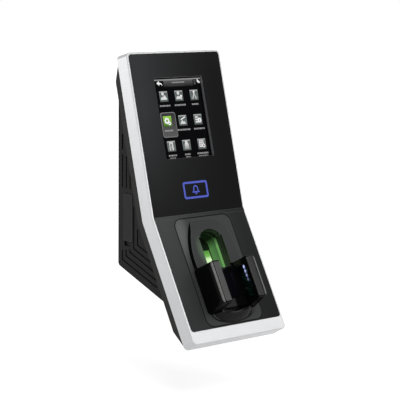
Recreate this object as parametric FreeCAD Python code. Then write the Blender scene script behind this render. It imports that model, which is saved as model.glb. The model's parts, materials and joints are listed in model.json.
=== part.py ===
import FreeCAD, Part
import math
import os

from FreeCAD import Placement, Rotation, Vector

# Fingerprint scanner terminal. Row frame in millimetres: X to the right, +Y into the wall, +Z up.
# The wall is the plane y = 0 and the origin is the centre of the wall plate's screw pattern.
# Two local frames lie on the front surface, both with their origin on the bend line: "up" runs up
# the display plane, "down" runs down the sensor plane, and "out" is the outward normal of either.

# Front surface
DISPLAY_TILT = 15.0        # lean of the display plane from upright, degrees
SENSOR_TILT = 30.0         # lean of the sensor plane from upright, degrees
BEND_Y = -44.3             # bend line between the two planes
BEND_Z = -19.8
DISPLAY_LENGTH = 119.0     # black panel, bend line to its top edge
PANEL_WIDTH = 85.0
PANEL_THICK = 2.2
PANEL_CORNER_R = 2.5
PANEL_GAP = 0.1            # round the panels and the chassis inside the frame

# Silver frame
RIM = 1.5                  # wall of the frame at the sides and the top
RAIL_HEIGHT = 9.5          # bottom rail
FRAME_DEPTH = 12.0
FRAME_CORNER_R = 3.6
FRAME_EDGE_R = 0.7
LIP_WIDTH = 1.2            # inner lip that the chassis skirt presses on
LIP_THICK = 2.0
RAIL_SKIN = 2.4
RAIL_RIBS = 3

# Chassis behind the panels
CHASSIS_THICK = 2.0
SKIRT_WALL = 1.6
BOSS_R = 3.5
UPPER_BOSS_UP = 92.0       # screw posts on the display plane
LOWER_BOSS_DOWN = 72.0     # screw posts on the sensor plane
BOSS_X = 34.0
UPPER_SEAT = 15.0          # depth of the joint between post and housing
LOWER_SEAT = 12.5

# Screen and call key
SCREEN_WIDTH = 45.0        # cut-out in the display panel
SCREEN_HEIGHT = 60.0
SCREEN_TOP = 18.0          # below the panel's top edge
GLASS_WIDTH = 50.0
GLASS_HEIGHT = 69.2
GLASS_THICK = 1.1
GASKET_THICK = 0.5
GASKET_WALL = 2.0
LCD_THICK = 2.8
GLASS_GAP = 0.2
KEY_WIDTH = 22.9
KEY_HEIGHT = 12.6
KEY_TOP = 95.7             # below the panel's top edge
KEY_STROKE = 1.5
KEY_CORNER_R = 1.8
KEY_DEPTH = 1.0
KEY_BOARD = (74.0, 34.0, 1.6)
COIL_SIZE = (60.0, 28.0, 0.3)
COIL_TRACK = 4.0

# Finger reader, on the sensor plane
LEDGE_HEIGHT = 3.0         # raised ledge of the fascia under the display panel
LEDGE_RISE = 0.4
MODULE_WIDTH = 52.8
MODULE_TOP = 3.3
MODULE_CORNER_R = 6.5
SEAM = 0.5                 # groove between module plate and fascia
ARCH_TOP = 5.5
ARCH_BOTTOM = 42.0
ARCH_HALF = 22.0
ARCH_STRAIGHT = 5.0        # upright ends of its sides
ARCH_SIDE_R = 52.0
ARCH_CORNER_R = 6.0
ARCH_RISE = 3.0
ARCH_SIDE = 0.8            # width of its steep side
ARCH_RAMP = 8.5            # length over which it rises at its top end
SLOT_HALF = 10.9
SLOT_TOP = 14.4
SLOT_SHOULDER = 19.5
SLOT_NECK = 9.1
SLOT_BOTTOM = 44.0
WELL_HALF = 8.9
WELL_LEDGE = 4.5
WELL_DEPTH = 13.0
OPTICS_WALL = 1.6
PRISM_TOP = 25.5           # upper edge of the prism, down the plane
CHEEK_THICK = 1.6
CHEEK_LOW_END = 9.0        # height of a cheek at its lower end, below the well
CHEEK_TOP_END = 7.0        # gap between the well's floor and a cheek's shoulder
CHEEK_FOOT = 6.0           # how far a cheek's deepest corner is below the slot's shoulder
OPTICS_DEPTH = 32.0
CAMERA_STANDOFF = 6.5      # camera's face to the prism's leg
CAMERA_BODY = (11.0, 5.0)  # height, length
CAMERA_LENS_R = 3.6
FIT = 0.1                  # clearance of inner pieces in their seats

# Finger guides
WING_INNER = 13.0
WING_OUTER = 22.9
WING_TOP_OUTER = 20.5
WING_TOP = 42.0
WING_LENGTH = 35.0
WING_BOTTOM = WING_TOP + WING_LENGTH
WING_UPPER_DRAFT = 0.5     # lean of its upper end
WING_LOWER_DRAFT = 2.8     # lean of its lower end
WING_HEIGHT = 18.2
WING_WALL = 1.8
WING_ROOF = 2.6
WING_CORNER_R = 3.0
WING_EDGE_R = 1.1
CAP_OUTER = 18.2
CAP_THICK = 1.2
CAP_END = 1.0
GROOVE_WIDTH = 1.0
GROOVE_DEPTH = 0.9
LED_ENDS = (4.0, 6.0)      # window's upper and lower end inside the wing's
LED_WINDOW = (WING_TOP + LED_ENDS[0], WING_BOTTOM - LED_ENDS[1], 5.0, 14.6)    # down from, to, out from, to
LED_BOARD_THICK = 1.2
LED_SIZE = (3.0, 1.5)      # square package, height off the board
LED_COUNT = 4
FLOOR_HEIGHT = 3.0
VEIN_ENDS = (8.0, 9.0)
VEIN_WINDOW = (17.0, WING_TOP + VEIN_ENDS[0], WING_BOTTOM - VEIN_ENDS[1], 1.5)  # width, from, to, thickness
VEIN_FRAME = 3.0           # depth of the vein camera's frame
VEIN_BOARD = 1.6
VEIN_LENS_R = 3.2
CHIN_HALF = 16.8
CHIN_TOP_HALF = 11.6
CHIN_REACH = 8.0           # below the wings
CHIN_SLOPE = 5.8           # run of its sloping front
CHIN_BOTTOM = WING_BOTTOM + CHIN_REACH
CHIN_TOP_END = CHIN_BOTTOM - CHIN_SLOPE
CHIN_UNDER = 8.0           # how far the lip runs back under the channel
CHIN_HEIGHT = 4.8
CHIN_RING = 0.8
CHIN_RING_HALF = 20.4      # half the ring's width, where it meets the wings
CHIN_R = 7.5
MODULE_MARGIN = 0.8        # module plate beyond the chin
FASCIA_MARGIN = 1.2        # fascia beyond the module plate
MODULE_BOTTOM = CHIN_BOTTOM + MODULE_MARGIN
FASCIA_LENGTH = MODULE_BOTTOM + FASCIA_MARGIN   # bend line to the bottom rail

# Rear housing
TRAY_WIDTH = 86.6
TRAY_DEPTH = 6.5
TRAY_TOP_IN = 3.7          # where the tray's top starts, below the panel's top
TRAY_TOP_LENGTH = 12.6     # run of the sloping top
TRAY_TAIL = 14.5           # run of the sloping lower end
WEDGE_WIDTH = 81.4
BACK_TOP = 74.5
BACK_BOTTOM = -60.4
SLOPE = 19.4               # underside of the wedge, degrees
SHELL = 2.2
BACK_WALL = 4.0            # back wall where the plate's recess is cut into it
TOE_DOWN = 62.6            # where the wedge's underside meets the tray, down the sensor plane
TOE_IN = 3.0               # and how far inside the tray's back
BACK_CORNER_R = 3.0
GROOVE_COUNT = 5
SIDE_GROOVE = (1.3, 0.8)   # width, depth
GROOVE_FIRST = (-5.0, -55.8)              # y, z of the outermost groove's corner
GROOVE_PITCH = (-4.55, 3.3)
GROOVE_REACH = 41.0        # sloping run of the outermost groove
GROOVE_REACH_STEP = 3.6
GROOVE_LONG_COUNT = 3      # grooves that go on above the cover
GROOVE_ENDS = (7.5, 1.0)   # upright runs stop short of the cover by this, less a step each
GROOVE_ABOVE = (4.0, (22.0, 21.0, 14.0))  # start above the cover, tops above it
GROOVE_SHORT = (31.0, 11.5)               # upright runs of the inner two
UPPER_SLOT = (-4.8, 25.4, 37.0)           # y, z from, z to

# Wall plate and what the back holds
PLATE_WIDTH = 71.0
PLATE_TOP = 57.0
PLATE_BOTTOM = -54.0
PLATE_THICK = 1.5
PLATE_GAP = 0.3
HOLE_SPACING_X = 50.0
HOLE_SPACING_Z = 80.0
HOLE_R = 2.25
CABLE_HOLE = (-16.0, 18.0, -28.0, 19.0)   # x from, x to, z from, z to
HOOK_X = 20.0
HOOK_WIDTH = 8.0
HOOK_Z = 50.0
HOOK_RISE = 4.0
HOOK_GAP = 0.5
FLANGE = (18.0, 10.0)      # width, reach of the folded lock flange
POCKET = (-20.0, 20.0, -30.0, 24.0)       # x from, x to, z from, z to
POCKET_DEPTH = 12.0
POCKET_WALL = 1.8
JACK = (-18.0, -2.0, 2.0, 22.0, 12.9)     # x from, x to, z from, z to, height off the board
JACK_WALL = 2.1
JACK_MOUTH = 14.0
TERMINAL_X = (8.0, 16.0)
TERMINAL_Z = ((-28.0, -6.0), (-3.0, 19.0))
TERMINAL_HEIGHT = 9.5
TERMINAL_WAYS = 5
TERMINAL_WELL = 2.4
BOARD_Y = -15.0            # rear face of the main board
BOARD_THICK = 1.6
BOARD_HALF = 36.0
BOARD_TOP = 34.0
BOARD_BOTTOM = -46.0
BOARD_HOLE = (31.0, 29.0, -41.0)          # x, upper z, lower z
BOARD_BOSS_R = 3.0
CHIPS = ((-8.0, 8.0, 8.0, 24.0, 1.8), (14.0, 26.0, 10.0, 20.0, 1.2), (-26.0, -14.0, 10.0, 20.0, 1.2),
         (-20.0, -10.0, -40.0, -30.0, 4.0), (-4.0, 6.0, -20.0, -8.0, 2.0))
BATTERY = (10.0, 4.2, -22.0, -12.0)       # radius, thickness, x, z
RELAY = (16.0, 31.0, -36.0, -17.0, 14.0)  # x from, x to, z from, z to, height

# Side cover, USB socket, buttons
COVER_FRONT = -17.0
COVER_REAR = -6.5
COVER_TOP = -6.5
COVER_BOTTOM = -41.5
COVER_THICK = 2.2
COVER_PROUD = 0.4
COVER_GAP = 0.35           # round its edge
COVER_SEAT_GAP = 0.1       # under it
COVER_MARGIN = 3.0         # backing wall round its seat
COVER_BACKING = 2.0
PULL_NOTCH = (2.8, 1.0, 3.6, 1.2)         # in from the front, in from the rear, below, depth
COVER_PLUG = (3.6, 9.6, 1.5)              # along y, z, x
COVER_R = 1.2
USB_SIZE = (14.0, 6.5, 14.0)              # along x, y, z
USB_CENTRE_Z = -24.0
USB_SHELL = 0.5
USB_SETBACK = 0.9          # socket's mouth behind the cover's seat
USB_GAP = 0.25
USB_BACK = 2.0             # closed end of the socket
USB_TONGUE = (0.2, 1.9, 3.0)              # above the middle, to, back from the mouth
PLUNGER_R = 1.6
PLUNGER_X = 30.0
PLUNGER_Z = -22.0
PLUNGER_GAP = 0.1
PLUNGER_TRAVEL_ROOM = 2.0
COLLAR = (0.9, 1.2)        # wider than the pin, thickness
SPRING_BORE = 0.3          # round the pin
SPRING_WALL = 0.5
SWITCH_HALF = 3.0
TAMPER_HEIGHT = 3.5
RUNNING_GAP = 0.05
RESET_X = 3.0
RESET_Z = 20.0
RESET_R = 1.7
RESET_TRAVEL = 0.4
RESET_HEIGHT = 1.0         # its switch
RESET_SINK = 2.0           # button below the pocket's floor
RESET_HOLE_GAP = 0.6

# Speaker over the slots in the underside
SPEAKER_Y = -25.0
SPEAKER_R = 12.0
SPEAKER_RIM = 2.4
MAGNET = (13.0, 5.2)       # square, height
GRILLE_SLOT = (1.6, 16.0)  # width, length
GRILLE_PITCH = 3.6
GRILLE_COUNT = 5

# Screws
SCREW_R = 1.5
SCREW_HEAD_R = 2.8
SCREW_HEAD = 1.8
SMALL_SCREW_R = 1.1
SMALL_HEAD_R = 2.1
SMALL_HEAD = 1.4
SCREW_LENGTH = 9.0
SMALL_LENGTH = 7.0
SCREW_HOLE_GAP = 0.2
HEAD_GAP = 0.3
SEAT_WALL = 0.6            # housing's seat wider than the chassis post
UPPER_SEAT_LENGTH = 9.0
LOWER_SEAT_FLOOR = SHELL + 1.4
HEAD_SINK = 0.4            # lock screw's head below the surface

BIG = 400.0
DISPLAY = Placement(Vector(0, BEND_Y, BEND_Z), Rotation(Vector(1, 0, 0), 90 - DISPLAY_TILT))
SENSOR = Placement(Vector(0, BEND_Y, BEND_Z), Rotation(Vector(1, 0, 0), 90 - SENSOR_TILT))
FRAME_HALF = PANEL_WIDTH / 2 + RIM
SCREEN_MIDDLE = DISPLAY_LENGTH - SCREEN_TOP - SCREEN_HEIGHT / 2
KEY_MIDDLE = DISPLAY_LENGTH - KEY_TOP - KEY_HEIGHT / 2
CHASSIS_BACK = PANEL_THICK + CHASSIS_THICK
TRAY_BACK = FRAME_DEPTH + TRAY_DEPTH
RECESS_DEPTH = PLATE_THICK + PLATE_GAP


# ---- places on the front surface ----

def display_point(up, out):
    return DISPLAY.multVec(Vector(0, up, out))


def sensor_point(down, out):
    return SENSOR.multVec(Vector(0, -down, out))


def bend_point(out):
    """Where the two planes meet when both are moved out by the same distance."""
    normals = DISPLAY.Rotation.multVec(Vector(0, 0, 1)), SENSOR.Rotation.multVec(Vector(0, 0, 1))
    return Vector(0, BEND_Y, BEND_Z) + (normals[0] + normals[1]) * (out / (1 + normals[0].dot(normals[1])))


def slope_z(y):
    """Height of the wedge's underside at a distance from the wall."""
    return BACK_BOTTOM + y * math.tan(math.radians(SLOPE))


# ---- shapes that many pieces use ----

def box(x0, x1, y0, y1, z0, z1):
    return Part.makeBox(x1 - x0, y1 - y0, z1 - z0, Vector(x0, y0, z0))


def rod(radius, start, end):
    return Part.makeCylinder(radius, (end - start).Length, start, end - start)


def fuse(first, *others):
    return first.multiFuse([shape for shape in others]).removeSplitter()


def side_prism(points, half_width):
    """A side profile, as points in the Y-Z plane, drawn across the terminal's width."""
    outline = [Vector(-half_width, p.y, p.z) for p in points]
    return Part.Face(Part.makePolygon(outline + outline[:1])).extrude(Vector(2 * half_width, 0, 0))


def bent_slab(half_width, top, bottom, deep, shallow):
    """A slab that follows both planes, between two depths under the front surface."""
    return side_prism([display_point(top, -shallow), bend_point(-shallow), sensor_point(bottom, -shallow),
                       sensor_point(bottom, -deep), bend_point(-deep), display_point(top, -deep)], half_width)


def rounded_outline(x0, x1, y0, y1, z, radii):
    """A closed outline at height z. The radii are those at (x0,y0), (x1,y0), (x1,y1), (x0,y1)."""
    corners = [(x0, y0, 1, 1), (x1, y0, -1, 1), (x1, y1, -1, -1), (x0, y1, 1, -1)]
    edges = []
    ends = []
    for (x, y, sx, sy), r in zip(corners, radii):
        centre = Vector(x + sx * r, y + sy * r, z)
        flat = Vector(x + sx * r, y, z)
        steep = Vector(x, y + sy * r, z)
        first, last = (steep, flat) if sx == sy else (flat, steep)
        middle = centre + Vector(-sx, -sy, 0) * (r / math.sqrt(2))
        ends.append((first, last))
        edges.append(Part.Arc(first, middle, last).toShape())
    sides = []
    for i, arc in enumerate(edges):
        sides.append(arc)
        start, end = ends[i][1], ends[(i + 1) % 4][0]
        if (end - start).Length > 1e-6:
            sides.append(Part.LineSegment(start, end).toShape())
    return Part.Wire(sides)


def plan_block(x0, x1, y0, y1, z0, z1, radius):
    """A flat block with rounded corners in plan."""
    outline = rounded_outline(x0, x1, y0, y1, z0, [radius] * 4)
    return Part.Face(outline).extrude(Vector(0, 0, z1 - z0))


def placed(shape, placement):
    moved = shape.copy()
    moved.Placement = placement.multiply(moved.Placement)
    return moved


def on_display(shape):
    return placed(shape, DISPLAY)


def on_sensor(shape):
    return placed(shape, SENSOR)


def edges_where(shape, test):
    return [edge for edge in shape.Edges if test(edge)]


def has_x(edge, half_width):
    return all(abs(abs(vertex.X) - half_width) < 1e-4 for vertex in edge.Vertexes)


# ---- front: frame, chassis, panels and screen ----

def rail_pockets():
    """Cored pockets in the back of the bottom rail, with ribs left between them."""
    span = PANEL_WIDTH / (RAIL_RIBS + 1)
    lower = -(FASCIA_LENGTH + RAIL_HEIGHT - RAIL_SKIN)
    pocket = box(0, span - LIP_THICK, lower, -(FASCIA_LENGTH + RAIL_SKIN), -FRAME_DEPTH, -RAIL_SKIN)
    return [on_sensor(pocket.translated(Vector(-PANEL_WIDTH / 2 + LIP_THICK / 2 + i * span, 0, 0)))
            for i in range(RAIL_RIBS + 1)]


def front_frame():
    bottom = FASCIA_LENGTH + RAIL_HEIGHT
    body = bent_slab(FRAME_HALF, DISPLAY_LENGTH + RIM, bottom, FRAME_DEPTH, 0)
    body = body.makeFillet(FRAME_CORNER_R, edges_where(
        body, lambda e: has_x(e, FRAME_HALF) and abs(e.Length - FRAME_DEPTH) < 1e-4))
    front = on_front_surface(body)
    body = body.makeFillet(FRAME_EDGE_R, front)
    half = PANEL_WIDTH / 2
    lip = FRAME_DEPTH - LIP_THICK
    opening = bent_slab(half, DISPLAY_LENGTH, FASCIA_LENGTH, lip, -1)
    opening = opening.makeFillet(PANEL_CORNER_R, edges_where(
        opening, lambda e: has_x(e, half) and abs(e.Length - (lip + 1)) < 1e-4))
    through = bent_slab(half - LIP_WIDTH, DISPLAY_LENGTH - TRAY_TOP_IN - SHELL, FASCIA_LENGTH - LIP_WIDTH,
                        FRAME_DEPTH + 1, 0)
    return body.cut([opening, through] + rail_pockets())


def on_front_surface(body):
    """Edges of a bent slab that lie on the front surface, without the bend itself."""
    def fronts(edge):
        middle = edge.valueAt((edge.FirstParameter + edge.LastParameter) / 2)
        points = [vertex.Point for vertex in edge.Vertexes] + [middle]
        depths = [min(DISPLAY.inverse().multVec(p).z, 0) if p.z > BEND_Z else SENSOR.inverse().multVec(p).z
                  for p in points]
        level = max(abs(depth) for depth in depths) < 1e-3
        across = edge.Length > 2 * FRAME_HALF - 1e-3
        return level and not across
    return edges_where(body, fronts)


def screen_opening(width, height, out0, out1):
    """A block on the display plane, centred on the screen."""
    return box(-width / 2, width / 2, SCREEN_MIDDLE - height / 2, SCREEN_MIDDLE + height / 2, out0, out1)


def posts(radius, shallow, deep_upper, deep_lower):
    """Four cylinders on the screw axes, from one depth to each pair's own depth."""
    made = []
    for side in (-1, 1):
        x = side * BOSS_X
        made.append(on_display(rod(radius, Vector(x, UPPER_BOSS_UP, -deep_upper),
                                   Vector(x, UPPER_BOSS_UP, -shallow))))
        made.append(on_sensor(rod(radius, Vector(x, -LOWER_BOSS_DOWN, -deep_lower),
                                  Vector(x, -LOWER_BOSS_DOWN, -shallow))))
    return made


def front_chassis():
    half = PANEL_WIDTH / 2 - PANEL_GAP
    top = DISPLAY_LENGTH - PANEL_GAP
    bottom = FASCIA_LENGTH - PANEL_GAP
    deep = FRAME_DEPTH - LIP_THICK
    body = bent_slab(half, top, bottom, deep, PANEL_THICK)
    body = body.makeFillet(PANEL_CORNER_R, edges_where(
        body, lambda e: has_x(e, half) and abs(e.Length - (deep - PANEL_THICK)) < 1e-4))
    body = body.cut(
        bent_slab(half - SKIRT_WALL, top - SKIRT_WALL, bottom - SKIRT_WALL, deep + 1, CHASSIS_BACK))
    body = fuse(body, *posts(BOSS_R, CHASSIS_BACK - CHASSIS_THICK / 2, UPPER_SEAT, LOWER_SEAT))
    glass = on_display(
        screen_opening(GLASS_WIDTH + 2 * GLASS_GAP, GLASS_HEIGHT + 2 * GLASS_GAP, -FRAME_DEPTH, 0))
    half_well = WELL_HALF + OPTICS_WALL + CHEEK_THICK + FIT
    reader = on_sensor(box(-half_well, half_well, -(VEIN_WINDOW[2] + 2), -(SLOT_TOP - OPTICS_WALL - FIT),
                           -FRAME_DEPTH, 0))
    pilots = posts(SCREW_R - RUNNING_GAP, CHASSIS_BACK, UPPER_SEAT + 1, LOWER_SEAT + 1)
    return body.cut([glass, reader] + pilots)


def key_outline(grow, out0, out1):
    """The call key's rounded rectangle, grown or shrunk, as a block."""
    width = KEY_WIDTH / 2 + grow
    height = KEY_HEIGHT / 2 + grow
    return plan_block(-width, width, KEY_MIDDLE - height, KEY_MIDDLE + height, out0, out1,
                      max(KEY_CORNER_R + grow, 0.3))


def key_ring():
    ring = key_outline(0, -KEY_DEPTH, 0).cut(key_outline(-KEY_STROKE, -KEY_DEPTH - 1, 1))
    return on_display(ring)


def display_panel():
    half = PANEL_WIDTH / 2 - PANEL_GAP
    top = DISPLAY_LENGTH - PANEL_GAP
    panel = side_prism([display_point(top, 0), bend_point(0), bend_point(-PANEL_THICK),
                        display_point(top, -PANEL_THICK)], half)
    panel = panel.makeFillet(PANEL_CORNER_R, edges_where(
        panel, lambda e: has_x(e, half) and abs(e.Length - PANEL_THICK) < 1e-4
        and e.CenterOfMass.z > BEND_Z + DISPLAY_LENGTH / 2))
    cut_out = on_display(screen_opening(SCREEN_WIDTH, SCREEN_HEIGHT, -PANEL_THICK - 1, 1))
    return panel.cut([cut_out, key_ring()])


def touch_glass():
    return on_display(screen_opening(GLASS_WIDTH, GLASS_HEIGHT, -PANEL_THICK - GLASS_THICK, -PANEL_THICK))


def lcd_gasket():
    top = -PANEL_THICK - GLASS_THICK
    frame = screen_opening(GLASS_WIDTH, GLASS_HEIGHT, top - GASKET_THICK, top)
    window = screen_opening(GLASS_WIDTH - 2 * GASKET_WALL, GLASS_HEIGHT - 2 * GASKET_WALL,
                            top - GASKET_THICK - 1, top + 1)
    return on_display(frame.cut(window))


def lcd_module():
    top = -PANEL_THICK - GLASS_THICK - GASKET_THICK
    return on_display(screen_opening(GLASS_WIDTH, GLASS_HEIGHT, top - LCD_THICK, top))


def key_board():
    width, height, thick = KEY_BOARD
    return on_display(box(-width / 2, width / 2, KEY_MIDDLE - height / 2, KEY_MIDDLE + height / 2,
                          -CHASSIS_BACK - thick, -CHASSIS_BACK))


def rfid_antenna():
    """Flat card-reader coil on the back of the key board."""
    width, height, thick = COIL_SIZE
    back = -CHASSIS_BACK - KEY_BOARD[2]
    middle = KEY_MIDDLE
    outer = plan_block(-width / 2, width / 2, middle - height / 2, middle + height / 2, back - thick, back,
                       COIL_TRACK)
    inner = plan_block(-width / 2 + COIL_TRACK, width / 2 - COIL_TRACK, middle - height / 2 + COIL_TRACK,
                       middle + height / 2 - COIL_TRACK, back - thick - 1, back + 1, COIL_TRACK / 2)
    return on_display(outer.cut(inner))


# ---- finger reader on the sensor plane ----

def module_block(grow, out0, out1):
    half = MODULE_WIDTH / 2 + grow
    return plan_block(-half, half, -MODULE_BOTTOM - grow, -MODULE_TOP + grow, out0, out1,
                      MODULE_CORNER_R + grow)


def sensor_fascia():
    half = PANEL_WIDTH / 2 - PANEL_GAP
    bottom = FASCIA_LENGTH - PANEL_GAP
    fascia = side_prism([bend_point(0), sensor_point(bottom, 0), sensor_point(bottom, -PANEL_THICK),
                         bend_point(-PANEL_THICK)], half)
    fascia = fascia.makeFillet(PANEL_CORNER_R, edges_where(
        fascia, lambda e: has_x(e, half) and abs(e.Length - PANEL_THICK) < 1e-4
        and e.CenterOfMass.z < BEND_Z - FASCIA_LENGTH / 2))
    ledge = side_prism([bend_point(-PANEL_THICK / 2), bend_point(0), sensor_point(LEDGE_RISE, LEDGE_RISE),
                        sensor_point(LEDGE_HEIGHT - LEDGE_RISE, LEDGE_RISE), sensor_point(LEDGE_HEIGHT, 0),
                        sensor_point(LEDGE_HEIGHT, -PANEL_THICK / 2)], half)
    return fuse(fascia, ledge).cut(on_sensor(module_block(SEAM, -PANEL_THICK - 1, 1)))


def slot_outline(grow, out0, out1):
    """The finger slot: straight sides, a shoulder, then a shallow arch at its top end."""
    side = SLOT_HALF + grow
    neck = SLOT_NECK + grow
    top = -SLOT_TOP + grow
    bottom = -SLOT_BOTTOM - grow
    shoulder = -SLOT_SHOULDER + grow
    points = [Vector(-side, bottom, out0), Vector(side, bottom, out0), Vector(side, shoulder, out0),
              Vector(neck, shoulder, out0)]
    ellipse = Part.Ellipse(Vector(neck, shoulder, out0), Vector(0, top, out0), Vector(0, shoulder, out0))
    arch = Part.ArcOfEllipse(ellipse, 0, math.pi).toShape()
    closing = [Vector(-neck, shoulder, out0), Vector(-side, shoulder, out0), points[0]]
    outline = Part.Wire(Part.makePolygon(points).Edges + [arch] + Part.makePolygon(closing).Edges)
    return Part.Face(outline).extrude(Vector(0, 0, out1 - out0))


def vein_opening(grow, out0, out1):
    width, top, bottom, _ = VEIN_WINDOW
    return box(-width / 2 - grow, width / 2 + grow, -bottom - grow, -top + grow, out0, out1)


def module_plate():
    under = -PANEL_THICK - 1
    plate = module_block(0, -PANEL_THICK, 0)
    return on_sensor(plate.cut([slot_outline(0, under, 1), vein_opening(-1, under, 1)]))


def arch_outline(shrink, out):
    """Flat top, rounded shoulders and gently bowed sides above the finger slot, open at the guides."""
    side_r = ARCH_SIDE_R - shrink
    corner_r = ARCH_CORNER_R - shrink
    straight = -ARCH_BOTTOM + ARCH_STRAIGHT
    centre_x = ARCH_HALF - ARCH_SIDE_R
    swing = ARCH_SIDE_R - ARCH_CORNER_R
    turn = math.asin((-ARCH_TOP - ARCH_CORNER_R - straight) / swing)
    corner = Vector(centre_x + swing * math.cos(turn), straight + swing * math.sin(turn), out)

    def along(centre, radius, angle):
        return centre + Vector(radius * math.cos(angle), radius * math.sin(angle), 0)

    side = Vector(centre_x, straight, out)
    upright = math.pi / 2
    right = [along(side, side_r, 0), along(side, side_r, turn / 2), along(side, side_r, turn),
             along(corner, corner_r, (turn + upright) / 2), along(corner, corner_r, upright)]
    left = [Vector(-p.x, p.y, p.z) for p in right]
    foot = Vector(right[0].x, -ARCH_BOTTOM, out)
    left_foot = Vector(-foot.x, -ARCH_BOTTOM, out)
    return Part.Wire([
        Part.LineSegment(foot, right[0]).toShape(),
        Part.Arc(*right[:3]).toShape(), Part.Arc(*right[2:]).toShape(),
        Part.LineSegment(right[4], left[4]).toShape(), Part.Arc(left[4], left[3], left[2]).toShape(),
        Part.Arc(left[2], left[1], left[0]).toShape(), Part.LineSegment(left[0], left_foot).toShape(),
        Part.LineSegment(left_foot, foot).toShape()])


def arch_guide():
    arch = Part.makeLoft([arch_outline(0, 0), arch_outline(ARCH_SIDE, ARCH_RISE)], True, True)
    start, end = -ARCH_TOP + 1, -ARCH_TOP - ARCH_RAMP
    wedge = [Vector(-BIG / 2, start, 0), Vector(-BIG / 2, end, ARCH_RISE),
             Vector(-BIG / 2, end, ARCH_RISE + 2), Vector(-BIG / 2, start, ARCH_RISE + 2)]
    ramp = Part.Face(Part.makePolygon(wedge + wedge[:1])).extrude(Vector(BIG, 0, 0))
    return on_sensor(arch.cut([ramp, slot_outline(0, -1, ARCH_RISE + 1)]))


def cheek(side):
    """A side cheek under the well that carries the prism and the camera."""
    inner = WELL_HALF - CHEEK_THICK / 2
    floor = -WELL_DEPTH
    outline = [(SLOT_SHOULDER, floor), (SLOT_BOTTOM, floor), (SLOT_BOTTOM, floor - CHEEK_LOW_END),
               (SLOT_SHOULDER + CHEEK_FOOT, -OPTICS_DEPTH), (SLOT_TOP, -OPTICS_DEPTH),
               (SLOT_TOP, floor - CHEEK_TOP_END)]
    points = [Vector(inner, -down, out) for down, out in outline]
    plate = Part.Face(Part.makePolygon(points + points[:1])).extrude(Vector(CHEEK_THICK, 0, 0))
    return plate if side > 0 else plate.mirror(Vector(0, 0, 0), Vector(1, 0, 0))


def optics_housing():
    """Light well under the slot: a wide ledge, a deeper well, a rounded fingertip end and two cheeks."""
    outer = WELL_HALF + OPTICS_WALL + CHEEK_THICK
    body = plan_block(-outer, outer, -SLOT_BOTTOM - OPTICS_WALL, -SLOT_TOP + OPTICS_WALL,
                      -WELL_DEPTH - OPTICS_WALL, -PANEL_THICK, OPTICS_WALL)
    upper = slot_outline(0, -WELL_LEDGE, 1)
    well = box(-WELL_HALF, WELL_HALF, -SLOT_BOTTOM, -SLOT_SHOULDER - 0.5, -WELL_DEPTH, 1)
    tip_middle = -SLOT_TOP - 2 * FIT - SLOT_NECK
    tip = rod(SLOT_NECK, Vector(0, tip_middle, -WELL_DEPTH), Vector(0, tip_middle, -1))
    prism_gap = box(-WELL_HALF + CHEEK_THICK / 2, WELL_HALF - CHEEK_THICK / 2, -SLOT_BOTTOM + 1, -PRISM_TOP,
                    -WELL_DEPTH - OPTICS_WALL - 1, -WELL_DEPTH + 1)
    body = body.cut([upper, well, tip, prism_gap])
    return on_sensor(fuse(body, cheek(-1), cheek(1)))


def prism_block(points, gap):
    half = WELL_HALF - CHEEK_THICK / 2 - gap
    outline = [Vector(-half, -down, out) for down, out in points]
    return Part.Face(Part.makePolygon(outline + outline[:1])).extrude(Vector(2 * half, 0, 0))


def prism_span():
    return PRISM_TOP + FIT, SLOT_BOTTOM - 1 - FIT


def fingerprint_prism():
    """Right-angle prism, its long face up into the well."""
    top, bottom = prism_span()
    middle = (top + bottom) / 2
    leg = (bottom - top) / 2
    corners = [(top, -WELL_DEPTH), (bottom, -WELL_DEPTH), (middle, -WELL_DEPTH - leg)]
    return on_sensor(prism_block(corners, FIT))


def prism_light_board():
    """Green light board against the lower leg of the prism."""
    top, bottom = prism_span()
    middle = (top + bottom) / 2
    leg = (bottom - top) / 2
    start = WELL_DEPTH + OPTICS_WALL + 0.2
    lift = start - WELL_DEPTH
    near = 0.3 * math.sqrt(2)
    far = near + 1.2 * math.sqrt(2)
    return on_sensor(prism_block([
        (bottom - lift + near, -start), (bottom - lift + far, -start),
        (middle + far, -WELL_DEPTH - leg), (middle + near, -WELL_DEPTH - leg)], FIT))


def fingerprint_camera():
    """Camera block between the cheeks, its lens square to the prism's upper leg."""
    top, bottom = prism_span()
    aim = Vector(0, -(top * 0.75 + bottom * 0.25), -WELL_DEPTH - (bottom - top) / 4)
    back = Vector(0, 1, -1).normalize()
    half = WELL_HALF - CHEEK_THICK / 2 - FIT
    turn = Rotation(Vector(0, 0, 1), back)
    height, length = CAMERA_BODY
    body = Part.makeBox(2 * half, height, length)
    front = Placement(aim + back * (CAMERA_STANDOFF + 1.5), turn)
    body.Placement = front.multiply(Placement(Vector(-half, -height / 2, 0), Rotation()))
    lens = rod(CAMERA_LENS_R, aim + back * (CAMERA_STANDOFF - 2.2), aim + back * (CAMERA_STANDOFF + 2))
    return on_sensor(fuse(body, lens))


# ---- finger guides ----

def tapered_block(base, roof, height, floor=0):
    """A block that tapers from base to roof, each given as x from, x to, down from, down to."""
    x0, x1, d0, d1 = base
    x2, x3, d2, d3 = roof
    block = Part.makeWedge(x0, floor, d0, d2, x2, x1, height, d1, d3, x3)
    return placed(block, Placement(Vector(0, 0, 0), Rotation(Vector(1, 0, 0), 90)))


def steep_edges(shape, beyond):
    """The upright corner edges of a tapered block on the far side of a value of x."""
    def steep(edge):
        low, high = [vertex.Point for vertex in edge.Vertexes]
        return abs(high.z - low.z) > 1 and (low.x + high.x) / 2 > beyond
    return edges_where(shape, steep)


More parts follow.
